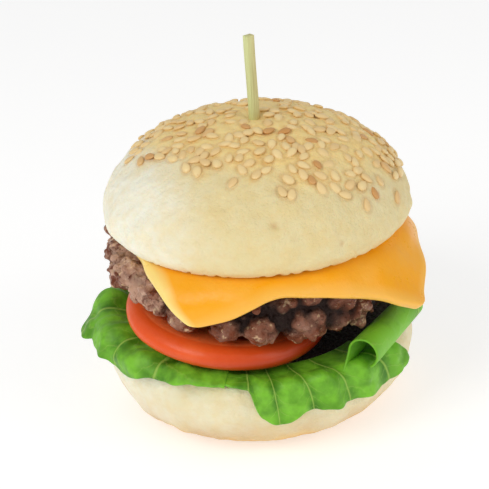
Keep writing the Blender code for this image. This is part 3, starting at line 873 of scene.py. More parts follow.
def cap_axis():
    """The middle of the seeded cap, which leans back and to the right."""
    axis = Vector((0, 0, 1))
    axis.rotate(Matrix.Rotation(math.radians(-SEED_CAP_BACK), 3, "X"))
    axis.rotate(Matrix.Rotation(math.radians(SEED_CAP_RIGHT), 3, "Y"))
    return axis


def cap_share(place, bun):
    """0 in the middle of the seeded cap, 1 at its border, more outside it."""
    direction = Vector(((place.x - CROWN_X) / bun.radius, place.y / bun.radius,
                        (place.z - CROWN_WIDEST_Z) / bun.crown_rise))
    if direction.length < TINY:
        return 2.0
    return math.degrees(direction.angle(cap_axis())) / SEED_CAP


# Pits and browned spots of the crust: angle round the crown, height share of the dome, radius, depth
CROWN_SPOTS = in_mm((
    (6, 0.25, 1.6, 0.6), (30, 0.06, 1.4, 0.3), (130, 0.35, 1.5, 0.40), (-150, 0.45, 1.4, 0.35),
), 2, 3)


def press_spots(bm, bun):
    """Small pits in the crown, browned in their middle."""
    spot = float_layer(bm, "spot")
    for angle, height, radius, depth in CROWN_SPOTS:
        a, tilt = math.radians(angle), math.radians(90 * (1 - height))
        direction = Vector((math.sin(a) * math.sin(tilt), -math.cos(a) * math.sin(tilt), math.cos(tilt)))
        middle = crown_surface(direction, bun)
        inward = -crown_outward(middle, bun)
        for v in bm.verts:
            far = (v.co - middle).length / radius
            if far < 2:
                v.co += inward * depth * (1 - ease(far / 2))
                v[spot] = max(v[spot], 0.5 * (1 - ease(far)))


def brown_and_shade_round_seeds(bm, layout, seeds):
    """Brown and sink the crust in a ring round each seed, the darkening partly painted shade where the seed
    meets the crust.
    """
    ring = float_layer(bm, "ring")
    tree = KDTree(len(layout))
    for index, seed in enumerate(layout):
        tree.insert(seed.place, index)
    tree.balance()
    for v in bm.verts:
        for _, index, _ in tree.find_range(v.co, seeds.length):
            seed = layout[index]
            local = seed.lie.transposed() @ (v.co - seed.place) / (seed.size / 2)
            far = math.hypot(local.x / seeds.length, local.y / seeds.width)
            v[ring] = max(v[ring], math.exp(-((far - 1.2) / 0.28) ** 2))
        v.co.z -= 0.10 * MM * v[ring]


def crown_bread(bun, seeds, deep_shade):
    """The dome with its crumbly edge, a dent round the skewer and a cut face below."""
    lower_rise = (CROWN_WIDEST_Z - CROWN_BOTTOM_Z) / math.sqrt(1 - (CROWN_CUT / bun.radius) ** 2)
    cut_angle = math.degrees(math.acos(CROWN_CUT / bun.radius))
    profile = flat_run(0, CROWN_CUT - CROWN_EDGE, CROWN_BOTTOM_Z, 20)
    profile += [(CROWN_CUT - CROWN_EDGE, CROWN_BOTTOM_Z)]
    profile += arc(0, CROWN_WIDEST_Z, bun.radius, lower_rise, -cut_angle + 2, 0, 12)
    profile += arc(0, CROWN_WIDEST_Z, bun.radius, bun.crown_rise, 0, 90, 120, CROWN_SQUARENESS)[1:]
    bm = spun(profile, CROWN_SEGMENTS)
    for f in bm.faces:
        f.material_index = int(all(v.co.z < CROWN_BOTTOM_Z + TINY for v in f.verts))
    uneven(bm, CROWN_BOTTOM_Z, bun.radius)
    bmesh.ops.translate(bm, vec=(CROWN_X, 0, 0), verts=bm.verts)
    press_spots(bm, bun)
    bake, flour_and_light = float_layer(bm, "bake"), float_layer(bm, "flour_and_light")
    for v in bm.verts:
        share = cap_share(v.co, bun) + 0.12 * noise.noise(v.co / (7 * MM))
        v[bake] = 1 - ease((share - 0.6) / 0.6)
        # Flour in patches, and painted light that whitens the crust towards the left.
        v[flour_and_light] = (1 - v[bake]) * flour_and_left_light(v.co)
        from_edge = (v.co.z - CROWN_BOTTOM_Z) / RAGGED_BAND
        if TINY < from_edge < 1:
            crumbs = noise.noise(v.co / (2.2 * MM)) + 0.5 * noise.noise(v.co / (1 * MM))
            v.co.xy *= 1 - RAGGED_IN / bun.radius * (1 - from_edge) * max(0.0, crumbs)
            v.co.z += RAGGED_UP * (1 - from_edge) * max(0.0, crumbs)
            v[bake] = max(v[bake], 0.8 * (1 - from_edge))
        from_skewer = (v.co.xy - Vector((SKEWER_X, 0))).length
        if v.co.z > CROWN_WIDEST_Z:
            v.co.z -= SKEWER_DENT * math.exp(-(from_skewer / SKEWER_DENT_RADIUS) ** 2)
    brown_and_shade_round_seeds(bm, seed_layout(seeds, bun), seeds)
    return to_object("crown_bread", bm, crust_material(bun), crumb_material(bun, deep_shade))


def flour_and_left_light(place):
    """How pale the crust is: flour in patches, plus painted light that whitens it most at the left."""
    left = ease(-place.x / (42 * MM))
    return min(1.0, left + 0.3 * max(0.0, noise.noise(place / (13 * MM))))


def heel_bread(bun, deep_shade):
    """The lower half: a flat foot, a round wall, floury and whitened at the left by painted light, and a
    cut face.
    """
    upper_rise = (HEEL_TOP_Z - HEEL_WIDEST_Z) / math.sqrt(1 - (HEEL_CUT / bun.radius) ** 2)
    cut_angle = math.degrees(math.acos(HEEL_CUT / bun.radius))
    profile = flat_run(0, HEEL_FOOT, 0, 16)
    profile += arc(HEEL_FOOT, HEEL_WIDEST_Z, bun.radius - HEEL_FOOT, HEEL_WIDEST_Z, -90, 0, 44,
                   HEEL_SQUARENESS)
    profile += arc(0, HEEL_WIDEST_Z, bun.radius, upper_rise, 0, cut_angle, 12)[1:]
    profile += flat_run(HEEL_CUT - CROWN_EDGE, 0, HEEL_TOP_Z, 24) + [(0, HEEL_TOP_Z)]
    bm = spun(profile, HEEL_SEGMENTS)
    cut_face = {v for v in bm.verts if v.co.z > HEEL_TOP_Z - TINY}
    for f in bm.faces:
        f.material_index = int(cut_face.issuperset(f.verts))
    uneven(bm, 0.0, bun.radius)
    bake, flour_and_light, soak, spot = (float_layer(bm, name) for name in ("bake", "flour_and_light", "soak", "spot"))
    for v in bm.verts:
        # Golden and darker towards the foot.
        v[bake] = 1.0 - ease(v.co.z / (11 * MM) + 0.3 * noise.noise(v.co / (9 * MM)))
        # Some flour everywhere, and painted light that whitens the wall towards the left.
        v[flour_and_light] = (1 - v[bake]) * max(0.4, 0.8 * flour_and_left_light(v.co))
        v[spot] = 0.7 * (1 - ease(v.co.z / (17 * MM) + 0.3 * noise.noise(v.co / (12 * MM))))
        # Painted shade on the heel's top at the right front, where the gap under the patty is dark.
        angle = math.degrees(math.atan2(v.co.x, -v.co.y))
        from_rim = VOID_SHADE_REACH - v.co.xy.length
        v[soak] = ease((angle - 10) / 12) * ease((135 - angle) / 20) * ease(from_rim / (3.4 * MM))
        v.co.z = HEEL_TOP_Z if v in cut_face else max(0.0, min(v.co.z, HEEL_TOP_Z))
        v.co.x += HEEL_RIGHT_BULGE * (max(0.0, v.co.x) / bun.radius) ** 2
    bmesh.ops.translate(bm, vec=(HEEL_X, 0, 0), verts=bm.verts)
    crust = bpy.data.materials.get("bun_crust") or crust_material(bun)
    crumb = bpy.data.materials.get("bun_crumb") or crumb_material(bun, deep_shade)
    return to_object("heel_bread", bm, crust, crumb)


def dome_place(x, y, bun):
    """The place on the dome straight above a place on its foot."""
    k = CROWN_SQUARENESS
    across = min(1.0, math.hypot(x - CROWN_X, y) / bun.radius)
    return Vector((x, y, CROWN_WIDEST_Z + bun.crown_rise * (1 - across ** k) ** (1 / k)))


def seed_lie(place, turn, bun, rng):
    """How a seed lies at a place: flat on the crust, turned and tilted a little."""
    lie = crown_outward(place, bun).to_track_quat("Z", "Y").to_matrix() @ Matrix.Rotation(turn, 3, "Z")
    lie = lie @ Matrix.Rotation(math.radians(rng.uniform(-10, 10)), 3, "Y")
    return lie @ Matrix.Rotation(math.radians(rng.uniform(-10, 10)), 3, "X")


def seed_layout(seeds, bun):
    """Every seed's place, lie, size and roast: a few listed, the rest at random in loose clusters."""
    rng = random.Random(11)
    layout = []
    for x, y, turn, roast in SEEDS_BY_EYE:
        place = dome_place(x, y, bun)
        layout.append(Seed(place, seed_lie(place, math.radians(turn), bun, rng), 1.0, roast))
    over_cap = cap_axis().to_track_quat("Z", "Y").to_matrix()
    for _ in range(SEED_TRIES):
        share = math.sqrt(rng.random())
        tilt, turn = math.radians(SEED_CAP) * share, rng.uniform(0, math.tau)
        local = Vector((math.sin(tilt) * math.cos(turn), math.sin(tilt) * math.sin(turn), math.cos(tilt)))
        place = crown_surface(over_cap @ local, bun)
        crowding = noise.noise(place / (9 * MM))
        spacing = SEED_SPACING * (1 + 0.4 * ease((share - 0.8) / 0.2) - 0.45 * crowding)
        near_skewer = (place.xy - Vector((SKEWER_X, 0))).length < SEED_SKEWER_SPACING
        if near_skewer or any((place - other.place).length < spacing for other in layout):
            continue
        roast = 0.35 * rng.random() ** 2 if rng.random() < 0.93 else rng.uniform(0.5, 0.9)
        size = rng.uniform(0.9, 1.12)
        layout.append(Seed(place, seed_lie(place, rng.uniform(0, math.tau), bun, rng), size, roast))
        if len(layout) == seeds.count:
            break
    return layout


def sesame_seeds(seeds, bun):
    """Flat drop-shaped seeds that lie on the crown, half sunk in it."""
    rng = random.Random(12)
    bm = bmesh.new()
    roast, tip, rim = (float_layer(bm, name) for name in ("roast", "tip", "rim"))
    on_side = Matrix.Rotation(math.radians(90), 4, "Y")
    for seed in seed_layout(seeds, bun):
        made = bmesh.ops.create_uvsphere(bm, u_segments=10, v_segments=7, radius=0.5,
                                         matrix=on_side)["verts"]
        for v in made:
            v[roast] = seed.roast
            v[tip] = 2 * v.co.x
            # The rim value darkens the seed's edge: partly toasting, partly painted shade.
            v[rim] = ease((2 * math.hypot(v.co.x, v.co.y) - 0.65) / 0.35)
            v.co.y *= 1 - 0.45 * v.co.x - 0.5 * max(0.0, v.co.x) ** 2
            v.co.z *= 1 - 0.5 * v.co.x
        bmesh.ops.scale(bm, vec=Vector((seeds.length, seeds.width, seeds.height)) * seed.size, verts=made)
        bmesh.ops.rotate(bm, cent=(0, 0, 0), matrix=seed.lie, verts=made)
        sunk = seed.lie @ Vector((0, 0, rng.uniform(0.0, 0.3) * MM))
        bmesh.ops.translate(bm, vec=seed.place + sunk, verts=made)
    return to_object("sesame_seeds", bm, seed_material(seeds))


# Patty


def lump_depth(place, size, depth):
    """How far the surface falls in between lumps of a given size."""
    near, second = noise.voronoi(place / size)[0][:2]
    return depth * (1 - min(1.0, (second - near) / CRACK_WIDTH)) ** 1.5


def patty_layer_z(x, share):
    """Height between the patty's bottom and top at x, share 0 to 1."""
    bottom = PATTY_BOTTOM_Z + PATTY_BOTTOM_SLOPE * x
    top = PATTY_TOP_Z + PATTY_TOP_SLOPE * x
    return lerp(bottom, top, share)


def patty_wall(patty, inset):
    """The patty's plain profile, drawn in by an inset."""
    height = PATTY_TOP_Z - PATTY_BOTTOM_Z
    flat = patty.radius - PATTY_SHOULDER
    shoulder = PATTY_SHOULDER - inset
    profile = [(0, inset), (flat * 0.5, inset)]
    profile += arc(flat, PATTY_SHOULDER, shoulder, shoulder, -90, 0, 6)
    profile += arc(flat, height - PATTY_SHOULDER, shoulder, shoulder, 0, 90, 6)
    profile += [(flat * 0.5, height - inset), (0, height - inset)]
    return profile


def settle(place):
    """Move a place of the upright patty to where the sloping patty has it."""
    height = PATTY_TOP_Z - PATTY_BOTTOM_Z
    x = place.x + PATTY_X
    return Vector((x, place.y, patty_layer_z(x, place.z / height)))


def crumb_places(patty, rng):
    """Places, sizes and ways out for crumbs on the patty's wall and on the rims of its faces."""
    height = PATTY_TOP_Z - PATTY_BOTTOM_Z
    flat = patty.radius - PATTY_SHOULDER
    straight = height - 2 * PATTY_SHOULDER
    bend = PATTY_SHOULDER * math.pi / 2
    margin = 6 * MM
    for _ in range(CRUMB_COUNT):
        along = rng.uniform(-margin, 2 * bend + straight + margin)
        turn = rng.uniform(0, math.tau)
        if along < 0:
            radius, z, tilt = flat + along, 0.0, -90.0
        elif along < bend:
            tilt = -90 + 90 * along / bend
            radius = flat + PATTY_SHOULDER * math.cos(math.radians(tilt))
            z = PATTY_SHOULDER * (1 + math.sin(math.radians(tilt)))
        elif along < bend + straight:
            radius, z, tilt = patty.radius, PATTY_SHOULDER + along - bend, 0.0
        elif along < 2 * bend + straight:
            tilt = 90 * (along - bend - straight) / bend
            radius = flat + PATTY_SHOULDER * math.cos(math.radians(tilt))
            z = height - PATTY_SHOULDER * (1 - math.sin(math.radians(tilt)))
        else:
            radius, z, tilt = flat - (along - 2 * bend - straight), height, 90.0
        t = math.radians(tilt)
        way = Vector((math.cos(turn) * math.cos(t), math.sin(turn) * math.cos(t), math.sin(t)))
        yield Vector((radius * math.cos(turn), radius * math.sin(turn), z)), way


def crumb_matrix(place, way, rng):
    """Size, stretch, turn and place of one crumb that lies in the wall at a place."""
    size = lerp(*CRUMB_SIZES, rng.random() ** 1.6)
    sunk = lump_depth(place, CHUNK_SIZE, CHUNK_DEPTH) + lump_depth(place, CHUNK_SIZE / 2.2, CHUNK_DEPTH / 2)
    sunk += moat_depth(place)
    middle = place - way * (size * rng.uniform(0.75, 1.0) + sunk)
    stretch = Matrix.Diagonal((size, size * rng.uniform(0.75, 1.0), size * rng.uniform(1.0, 1.7), 1))
    axis = Vector((rng.gauss(0, 1), rng.gauss(0, 1), rng.gauss(0, 1)))
    return Matrix.Translation(middle) @ Matrix.Rotation(rng.uniform(0, math.tau), 4, axis) @ stretch


def lump_middle(lump, reach):
    """The middle of a chunk that reaches out as far as a radius."""
    angle, height, radius = lump
    a = math.radians(angle)
    return Vector((math.sin(a) * (reach - radius), -math.cos(a) * (reach - radius), height))


def moat_depth(place):
    """How far the wall falls in round the chunks that stand out of it."""
    far = min((place - lump_middle(lump, MOAT_REACH)).length / lump[2] for lump in PATTY_LUMPS)
    return MOAT_DEPTH * math.exp(-((far - 1.2) / 0.22) ** 2)


def lump_crumbs(patty, rng):
    """A core and crumbs for each of the chunks that stand out of the wall."""
    for lump in PATTY_LUMPS:
        middle, radius = lump_middle(lump, patty.radius + 0.4 * MM), lump[2]
        yield Matrix.Translation(middle) @ Matrix.Scale(radius - 1.5 * MM, 4)
        for _ in range(LUMP_CRUMBS):
            way = Vector((rng.gauss(0, 1), rng.gauss(0, 1), rng.gauss(0, 1))).normalized()
            size = rng.uniform(0.8, 1.9) * MM
            breadth, length = size * rng.uniform(0.75, 1.0), size * rng.uniform(1.0, 1.5)
            stretch = Matrix.Diagonal((size, breadth, length, 1))
            turn = Matrix.Rotation(rng.uniform(0, math.tau), 4, way.orthogonal())
            yield Matrix.Translation(middle + way * (radius - size)) @ turn @ stretch


def append_crumbs(bm, crumbs):
    """Add a batch of crumbs to a mesh. Small batches are quick, because each step reads the whole mesh."""
    batch = bmesh.new()
    for matrix in crumbs:
        bmesh.ops.create_icosphere(batch, subdivisions=2, radius=1.0, matrix=matrix)
    mesh = bpy.data.meshes.new("crumbs")
    batch.to_mesh(mesh)
    batch.free()
    bm.from_mesh(mesh)
    bpy.data.meshes.remove(mesh)


def beef_mince(patty):
    """A hand-formed patty of coarse mince: crumbs packed into chunks with deep cracks between."""
    rng = random.Random(5)
    bm = spun(patty_wall(patty, 3.2 * MM), 96)
    crumbs = [crumb_matrix(place, way, rng) for place, way in crumb_places(patty, rng)]
    crumbs += lump_crumbs(patty, rng)
    for start in range(0, len(crumbs), CRUMB_BATCH):
        append_crumbs(bm, crumbs[start:start + CRUMB_BATCH])
    obj = to_object("beef_mince", bm)
    remesh = obj.modifiers.new("mince", "REMESH")
    remesh.mode = "VOXEL"
    remesh.voxel_size = MINCE_VOXEL
    mesh = baked(obj)
    bm = bmesh.new()
    bm.from_mesh(mesh)
    bmesh.ops.smooth_vert(bm, verts=bm.verts, factor=0.5, use_axis_x=True, use_axis_y=True, use_axis_z=True)
    crack_shade, paleness = float_layer(bm, "crack_shade"), float_layer(bm, "paleness")
    height = PATTY_TOP_Z - PATTY_BOTTOM_Z
    flat = patty.radius - PATTY_SHOULDER
    bm.normal_update()
    for v in bm.verts:
        across = max(0.0, v.co.xy.length - flat)
        up = max(0.0, abs(v.co.z - height / 2) - (height / 2 - PATTY_SHOULDER))
        angle = math.degrees(math.atan2(v.co.x, -v.co.y))
        # Paler and greyer towards the left; browner, with darker cracks, towards the right.
        seared = ease((angle + 48) / 26) if angle < 90 else 1.0
        v[paleness] = lerp(1.9, 0.35, seared)
        depth = max(0.0, PATTY_SHOULDER - math.hypot(across, up))
        # Painted shade: how far a place has fallen in from the plain wall, stronger towards the right.
        v[crack_shade] = lerp(0.45, 1.0, seared) * depth / CRACK_SHADE_DEPTH
        v.co += v.normal * sum(depth * noise.noise(v.co / size) for size, depth in MINCE_GRAIN)
        v.co = settle(v.co)
    bm.to_mesh(mesh)
    bm.free()
    mesh.shade_smooth()
    mesh.materials.append(mince_material(patty))
    return obj


# Cheese


def cheese_droop(angle):
    """How steeply the cheese hangs over the patty's rim at an angle from the front."""
    start, end = CHEESE_DROOP_SPAN
    return lerp(*CHEESE_DROOPS, ease((angle - start) / (end - start)))


def drape_on_patty(place, patty, cheese):
    """Where a point of the flat slice comes to lie on the patty and over its rim."""
    across = Vector((place.x - PATTY_X, place.y))
    far = across.length
    flat = patty.radius - PATTY_SHOULDER
    bend = PATTY_SHOULDER + 2 * CLEARANCE + cheese.thickness / 2
    radius, drop = far, 0.0
    if far > flat:
        angle = math.degrees(math.atan2(across.x, -across.y))
        turn = min((far - flat) / bend, math.radians(cheese_droop(angle)))
        rest = far - flat - turn * bend
        radius = flat + bend * math.sin(turn) + rest * math.cos(turn)
        drop = bend * (1 - math.cos(turn)) + rest * math.sin(turn)
    x = PATTY_X + across.x * radius / max(far, TINY)
    y = across.y * radius / max(far, TINY)
    return Vector((x, y, patty_layer_z(x, 1.0) + 2 * CLEARANCE + cheese.thickness / 2 - drop))


def melted_cheese(patty, cheese):
    """A soft square slice with rounded edges that has sagged over the patty's lumps."""
    bm = bmesh.new()
    bmesh.ops.create_grid(bm, x_segments=CHEESE_CELLS, y_segments=CHEESE_CELLS, size=1.0)
    turn = Matrix.Rotation(math.radians(CHEESE_TURN), 2)
    edge = float_layer(bm, "edge")
    for v in bm.verts:
        across, up = v.co.x, v.co.y
        rim = max(abs(across), abs(up))
        # Painted highlight: a broad band at the left edge and a faint one round the rim.
        v[edge] = max(ease((-0.89 - across) / 0.06), 0.35 * ease((rim - 0.86) / 0.14))
        pull = 1 - sum(share * abs(across * up) ** power for share, power in CHEESE_CORNER_PULLS)
        wave = noise.noise(Vector((across, up, 3.0)) * cheese.side / 2 / CHEESE_WAVE)
        reach = CHEESE_WAVE_DEPTH * wave
        if up < 0:
            reach += sum(depth * math.exp(-((across - middle) / spread) ** 2)
                         for middle, spread, depth in CHEESE_FRONT_WAVES)
        pull += ease((rim - 0.7) / 0.3) * reach / (cheese.side / 2)
        flat_place = turn @ (v.co.xy * pull * cheese.side / 2) + CHEESE_CENTRE
        place = drape_on_patty(flat_place, patty, cheese)
        far = (flat_place - Vector((PATTY_X, 0))).length
        sag = ease((far - 36 * MM) / (8 * MM))
        lean = Vector((place.x, place.y, 0)).normalized()
        place += lean * sag * 1.3 * MM * noise.noise(place / (10 * MM))
        v.co = place
    bmesh.ops.recalc_face_normals(bm, faces=bm.faces)
    obj = to_object("melted_cheese", bm, cheese_material(cheese))
    thickened(obj, cheese.thickness)
    subdivided(obj, 2)
    return obj


# Tomato


def tomato(settings):
    """A slice with a bulging rim of skin and faces with jelly pockets between fleshy walls."""
    half = settings.thickness / 2
    face = settings.radius * TOMATO_FACE_SHARE
    profile = flat_run(0, face, -half, 34)
    profile += arc(face, 0, settings.radius - face, half, -90, 90, 12)
    profile += flat_run(face, 0, half, 34)[1:] + [(0, half)]
    bm = spun(profile, 160)
    rim, pocket, ripe, cut = (float_layer(bm, name) for name in ("rim", "pocket", "ripe", "cut"))
    for v in bm.verts:
        share = v.co.xy.length / settings.radius
        v[rim] = share
        # Painted shade: darker towards the lower right of the skin.
        v[ripe] = 0.95 * ease(0.45 + 0.5 * v.co.x / settings.radius - 0.6 * v.co.z / settings.thickness)
        # A pale line at the lower left rim: partly the pale cut edge, partly painted highlight.
        v[cut] = 0.7 * ease((-v.co.z / half - 0.7) / 0.2) * ease(-v.co.x / (10 * MM))
        turn = math.atan2(v.co.y, v.co.x)
        lobes = 0.5 + 0.5 * math.cos(5 * turn + 1.2 * noise.noise(v.co / (12 * MM)))
        inside = ease((share - 0.25) / 0.15) * (1 - ease((share - 0.66) / 0.12))
        v[pocket] = inside * ease((lobes - 0.35) / 0.3)
        if abs(abs(v.co.z) - half) < TINY:
            v.co.z -= math.copysign(0.5 * MM * v[pocket], v.co.z)
        v.co.xy *= 1 + 0.006 * math.cos(5 * turn) + 0.01 * noise.noise(v.co / (16 * MM))
    for f in bm.faces:
        f.material_index = int(abs(f.calc_center_median().z) > half * 0.97)
    pitch, roll = (math.radians(a) for a in TOMATO_TILT)
    tilt = Matrix.Rotation(roll, 3, "Y") @ Matrix.Rotation(pitch, 3, "X")
    bmesh.ops.rotate(bm, cent=(0, 0, 0), matrix=tilt, verts=bm.verts)
    bmesh.ops.translate(bm, vec=TOMATO_CENTRE, verts=bm.verts)
    return to_object("tomato", bm, tomato_skin_material(settings), tomato_flesh_material(settings))


# Lettuce


def leaf_place(leaf, u, v):
    """A point of a leaf that lies on the heel and hangs over its rim."""
    first, last = leaf.stations[0][0], leaf.stations[-1][0]
    angle = lerp(first, last - leaf.slant * (1 - ease(v)), u)
    lift, rim, droop, hang = at_angle(leaf.stations, angle)
    droop = math.radians(droop)
    inner = rim - leaf.inner
    s = v * (inner + LEAF_BEND * droop + hang)
    turn = min(max(0.0, s - inner) / LEAF_BEND, droop)
    rest = max(0.0, s - inner - LEAF_BEND * droop)
    radius = leaf.inner + min(s, inner) + LEAF_BEND * math.sin(turn) + rest * math.cos(turn)
    z = lerp(LEAF_BASE_Z, lift, ease(s / inner))
    z -= LEAF_BEND * (1 - math.cos(turn)) + rest * math.sin(turn)
    wave = 0.5 + 0.5 * math.sin(math.tau * leaf.waves * u + leaf.phase + 2.0 * v)
    push = leaf.ruffle * wave * ease((v - leaf.ruffle_start) / (1 - leaf.ruffle_start))
    return around(angle, radius + push * math.sin(turn), z + push * math.cos(turn))


def roll_place(u, v):
    """A point of the rolled leaf: up its inner wall, over the top, down outside and under."""
    middle, radius = ROLL_FRONT.lerp(ROLL_BACK, u), lerp(*ROLL_RADII, u)
    outward = (ROLL_BACK - ROLL_FRONT).cross(Vector((0, 0, 1))).normalized()
    wall = middle.z - ROLL_WALL_FOOT_Z
    s = v * (wall + radius * math.radians(ROLL_WRAP))
    if s < wall:
        flare = ROLL_FLARE * (1 - s / wall) * (1 - u) ** 3
        forward = (ROLL_FRONT - ROLL_BACK).normalized() - Vector((0, 0, 0.5))
        return middle - outward * radius + Vector((0, 0, s - wall)) + forward * flare
    turn = (s - wall) / radius
    return middle - outward * radius * math.cos(turn) + Vector((0, 0, radius * math.sin(turn)))


def leaf_blade(name, lettuce, mat, place, size, ribs, folds, seed, crispness=1.0):
    """A leaf made by moving a fine grid, puffed out between its ribs, folded, with a frayed edge."""
    width, length = size
    bm = bmesh.new()
    bmesh.ops.create_grid(bm, x_segments=round(width / LEAF_CELL), y_segments=round(length / LEAF_CELL),
                          size=0.5)
    flat = [(v.co.x + 0.5, v.co.y + 0.5) for v in bm.verts]
    sides = (-RIB_MARGIN, *ribs, 1 + RIB_MARGIN)
    across, out = float_layer(bm, "across"), float_layer(bm, "out")
    for v, (u, far) in zip(bm.verts, flat):
        v[across], v[out] = np.interp(u, sides, range(len(sides))), far
        tatter = noise.noise(Vector((u * width / (3 * MM), seed, 0)))
        fray = 1 - 0.03 * ease((far - 0.8) / 0.2) * (1 + tatter)
        v.co = place(u, far * fray)
    bmesh.ops.recalc_face_normals(bm, faces=bm.faces)
    # An open blade may come out facing inwards, and is turned round so that its folds rise outwards
    if sum(f.normal.dot(f.calc_center_median()) for f in bm.faces) < 0:
        bmesh.ops.reverse_faces(bm, faces=bm.faces)
    bm.normal_update()
    for v, (u, far) in zip(bm.verts, flat):
        loose = ease((far - 0.3) / 0.3)
        puff = math.sin(math.pi * v[across]) ** 2 * (0.8 + 0.8 * noise.noise(v.co / (6 * MM)))
        fold = sum(height * math.exp(-((u - middle) / spread) ** 2) for middle, spread, height in folds)
        dents = sum(depth * noise.noise(v.co / size) for size, depth in LEAF_DENTS)
        lift = crispness * (lettuce.crinkle * puff + dents) + fold
        v.co += v.normal * loose * max(lift, LEAF_LOWEST)
    obj = to_object(name, bm, mat)
    thickened(obj, lettuce.thickness)
    subdivided(obj, 1)
    return obj


# Skewer


def bamboo_stick(skewer):
    """A split stick, flat at the top and pointed below, with slightly worn edges."""
    top_z, tip_z = SKEWER_HIGH.z, SKEWER_LOW.z
    bm = bmesh.new()
    bmesh.ops.create_cube(bm, size=1.0)
    size = Vector((skewer.width, skewer.depth, top_z - tip_z - SKEWER_POINT))
    bmesh.ops.scale(bm, vec=size, verts=bm.verts)
    bmesh.ops.translate(bm, vec=(0, 0, top_z - size.z / 2), verts=bm.verts)
    bottom = min(bm.faces, key=lambda f: f.calc_center_median().z)
    tip = bmesh.ops.extrude_discrete_faces(bm, faces=[bottom])["faces"][0]
    bmesh.ops.translate(bm, vec=(0, 0, -SKEWER_POINT), verts=tip.verts)
    middle = tip.calc_center_median()
    for v in tip.verts:
        v.co.xy = middle.xy + (v.co.xy - middle.xy) * SKEWER_TIP_SHARE
    upright = [e for e in bm.edges if abs(e.verts[0].co.z - e.verts[1].co.z) > MM]
    bmesh.ops.subdivide_edges(bm, edges=upright, cuts=24, use_grid_fill=True)
    bmesh.ops.bevel(bm, geom=bm.edges, offset=0.18 * MM, affect="EDGES", segments=2, profile=0.5,
                    material=-1)
    rind = float_layer(bm, "rind")
    bm.normal_update()
    for v in bm.verts:
        v[rind] = ease(0.5 - 1.2 * v.normal.x)
        bend_x, bend_y = (noise.noise((v.co + Vector((shift, 0, 0))) / (9 * MM)) for shift in (0, 1))
        v.co.xy += Vector((bend_x, bend_y)) * SKEWER_BEND
    turn = Matrix.Rotation(math.radians(SKEWER_TURN), 3, "Z")
    bmesh.ops.rotate(bm, cent=(0, 0, 0), matrix=turn, verts=bm.verts)
    bmesh.ops.translate(bm, vec=(SKEWER_X, 0, 0), verts=bm.verts)
    lean = Matrix.Rotation(math.radians(-SKEWER_LEAN), 3, "Y")
    bmesh.ops.rotate(bm, cent=(SKEWER_X, 0, CROWN_HIGH.z), matrix=lean, verts=bm.verts)
    return to_object("bamboo_stick", bm, bamboo_material(skewer))


# Studio


def look_from(place, target):
    """The rotation that looks from a place at a target."""
    return (target - place).to_track_quat("-Z", "Y").to_matrix()


def soft_light(name, place, target, side, power, colour):
    """A square area light."""
    light = bpy.data.lights.new(name, "AREA")
    light.size = side
    light.energy = power
    light.color = colour
    obj = bpy.data.objects.new(name, light)
    obj.location = place
    obj.rotation_euler = look_from(place, target).to_euler()
    bpy.context.scene.collection.objects.link(obj)


def place_camera():
    """The camera at the photograph's angle, with the small shift of its framing."""
    elevation = math.radians(CAMERA_ELEVATION)
    place = CAMERA_TARGET + Vector((0, -math.cos(elevation), math.sin(elevation))) * CAMERA_DISTANCE
    data = bpy.data.cameras.new("camera")
    data.sensor_width = 36.0
    data.lens = data.sensor_width * PIXELS_PER_METRE * CAMERA_DISTANCE / PICTURE_SIDE
    data.shift_x = (PICTURE_SIDE / 2 - OPTICAL_CENTRE[0]) / PICTURE_SIDE
    data.shift_y = (OPTICAL_CENTRE[1] - PICTURE_SIDE / 2) / PICTURE_SIDE
    data.clip_start = 0.01
    camera = bpy.data.objects.new("camera", data)
    camera.location = place
    turn = look_from(place, CAMERA_TARGET) @ Matrix.Rotation(-math.radians(CAMERA_ROLL), 3, "Z")
    camera.rotation_euler = turn.to_euler()
    bpy.context.scene.collection.objects.link(camera)
    bpy.context.scene.camera = camera


def studio_floor(studio):
    """A wide floor."""
    bm = bmesh.new()
    bmesh.ops.create_grid(bm, x_segments=1, y_segments=1, size=4.0)
    floor = to_object("studio_floor", bm, floor_material(studio))


# Operators


class BURGER_OT_bake_crown(bpy.types.Operator):
    """Build the crown of the bun."""
    bl_idname = "burger.bake_crown"
    bl_label = "Bun crown"

    def execute(self, context):
        burger = context.scene.burger
        dress(crown_bread(burger.bun, burger.seeds, burger.patty.deep_shade), "bun_crown")
        return {"FINISHED"}


class BURGER_OT_scatter_seeds(bpy.types.Operator):
    """Scatter the sesame seeds on the crown."""
    bl_idname = "burger.scatter_seeds"
    bl_label = "Sesame seeds"

    def execute(self, context):
        burger = context.scene.burger
        dress(sesame_seeds(burger.seeds, burger.bun), "bun_crown")
        return {"FINISHED"}


class BURGER_OT_bake_heel(bpy.types.Operator):
    """Build the heel of the bun."""
    bl_idname = "burger.bake_heel"
    bl_label = "Bun heel"

    def execute(self, context):
        burger = context.scene.burger
        dress(heel_bread(burger.bun, burger.patty.deep_shade), "bun_heel")
        return {"FINISHED"}


class BURGER_OT_grill_patty(bpy.types.Operator):
    """Build the beef patty."""
    bl_idname = "burger.grill_patty"
    bl_label = "Beef patty"

    def execute(self, context):
        dress(beef_mince(context.scene.burger.patty), "beef_patty")
        return {"FINISHED"}


class BURGER_OT_melt_cheese(bpy.types.Operator):
    """Drape the cheese slice on the patty."""
    bl_idname = "burger.melt_cheese"
    bl_label = "Cheese slice"

    def execute(self, context):
        burger = context.scene.burger
        dress(melted_cheese(burger.patty, burger.cheese), "cheese_slice")
        return {"FINISHED"}


class BURGER_OT_slice_tomato(bpy.types.Operator):
    """Build the tomato slice."""
    bl_idname = "burger.slice_tomato"
    bl_label = "Tomato slice"

    def execute(self, context):
        dress(tomato(context.scene.burger.tomato), "tomato_slice")
        return {"FINISHED"}


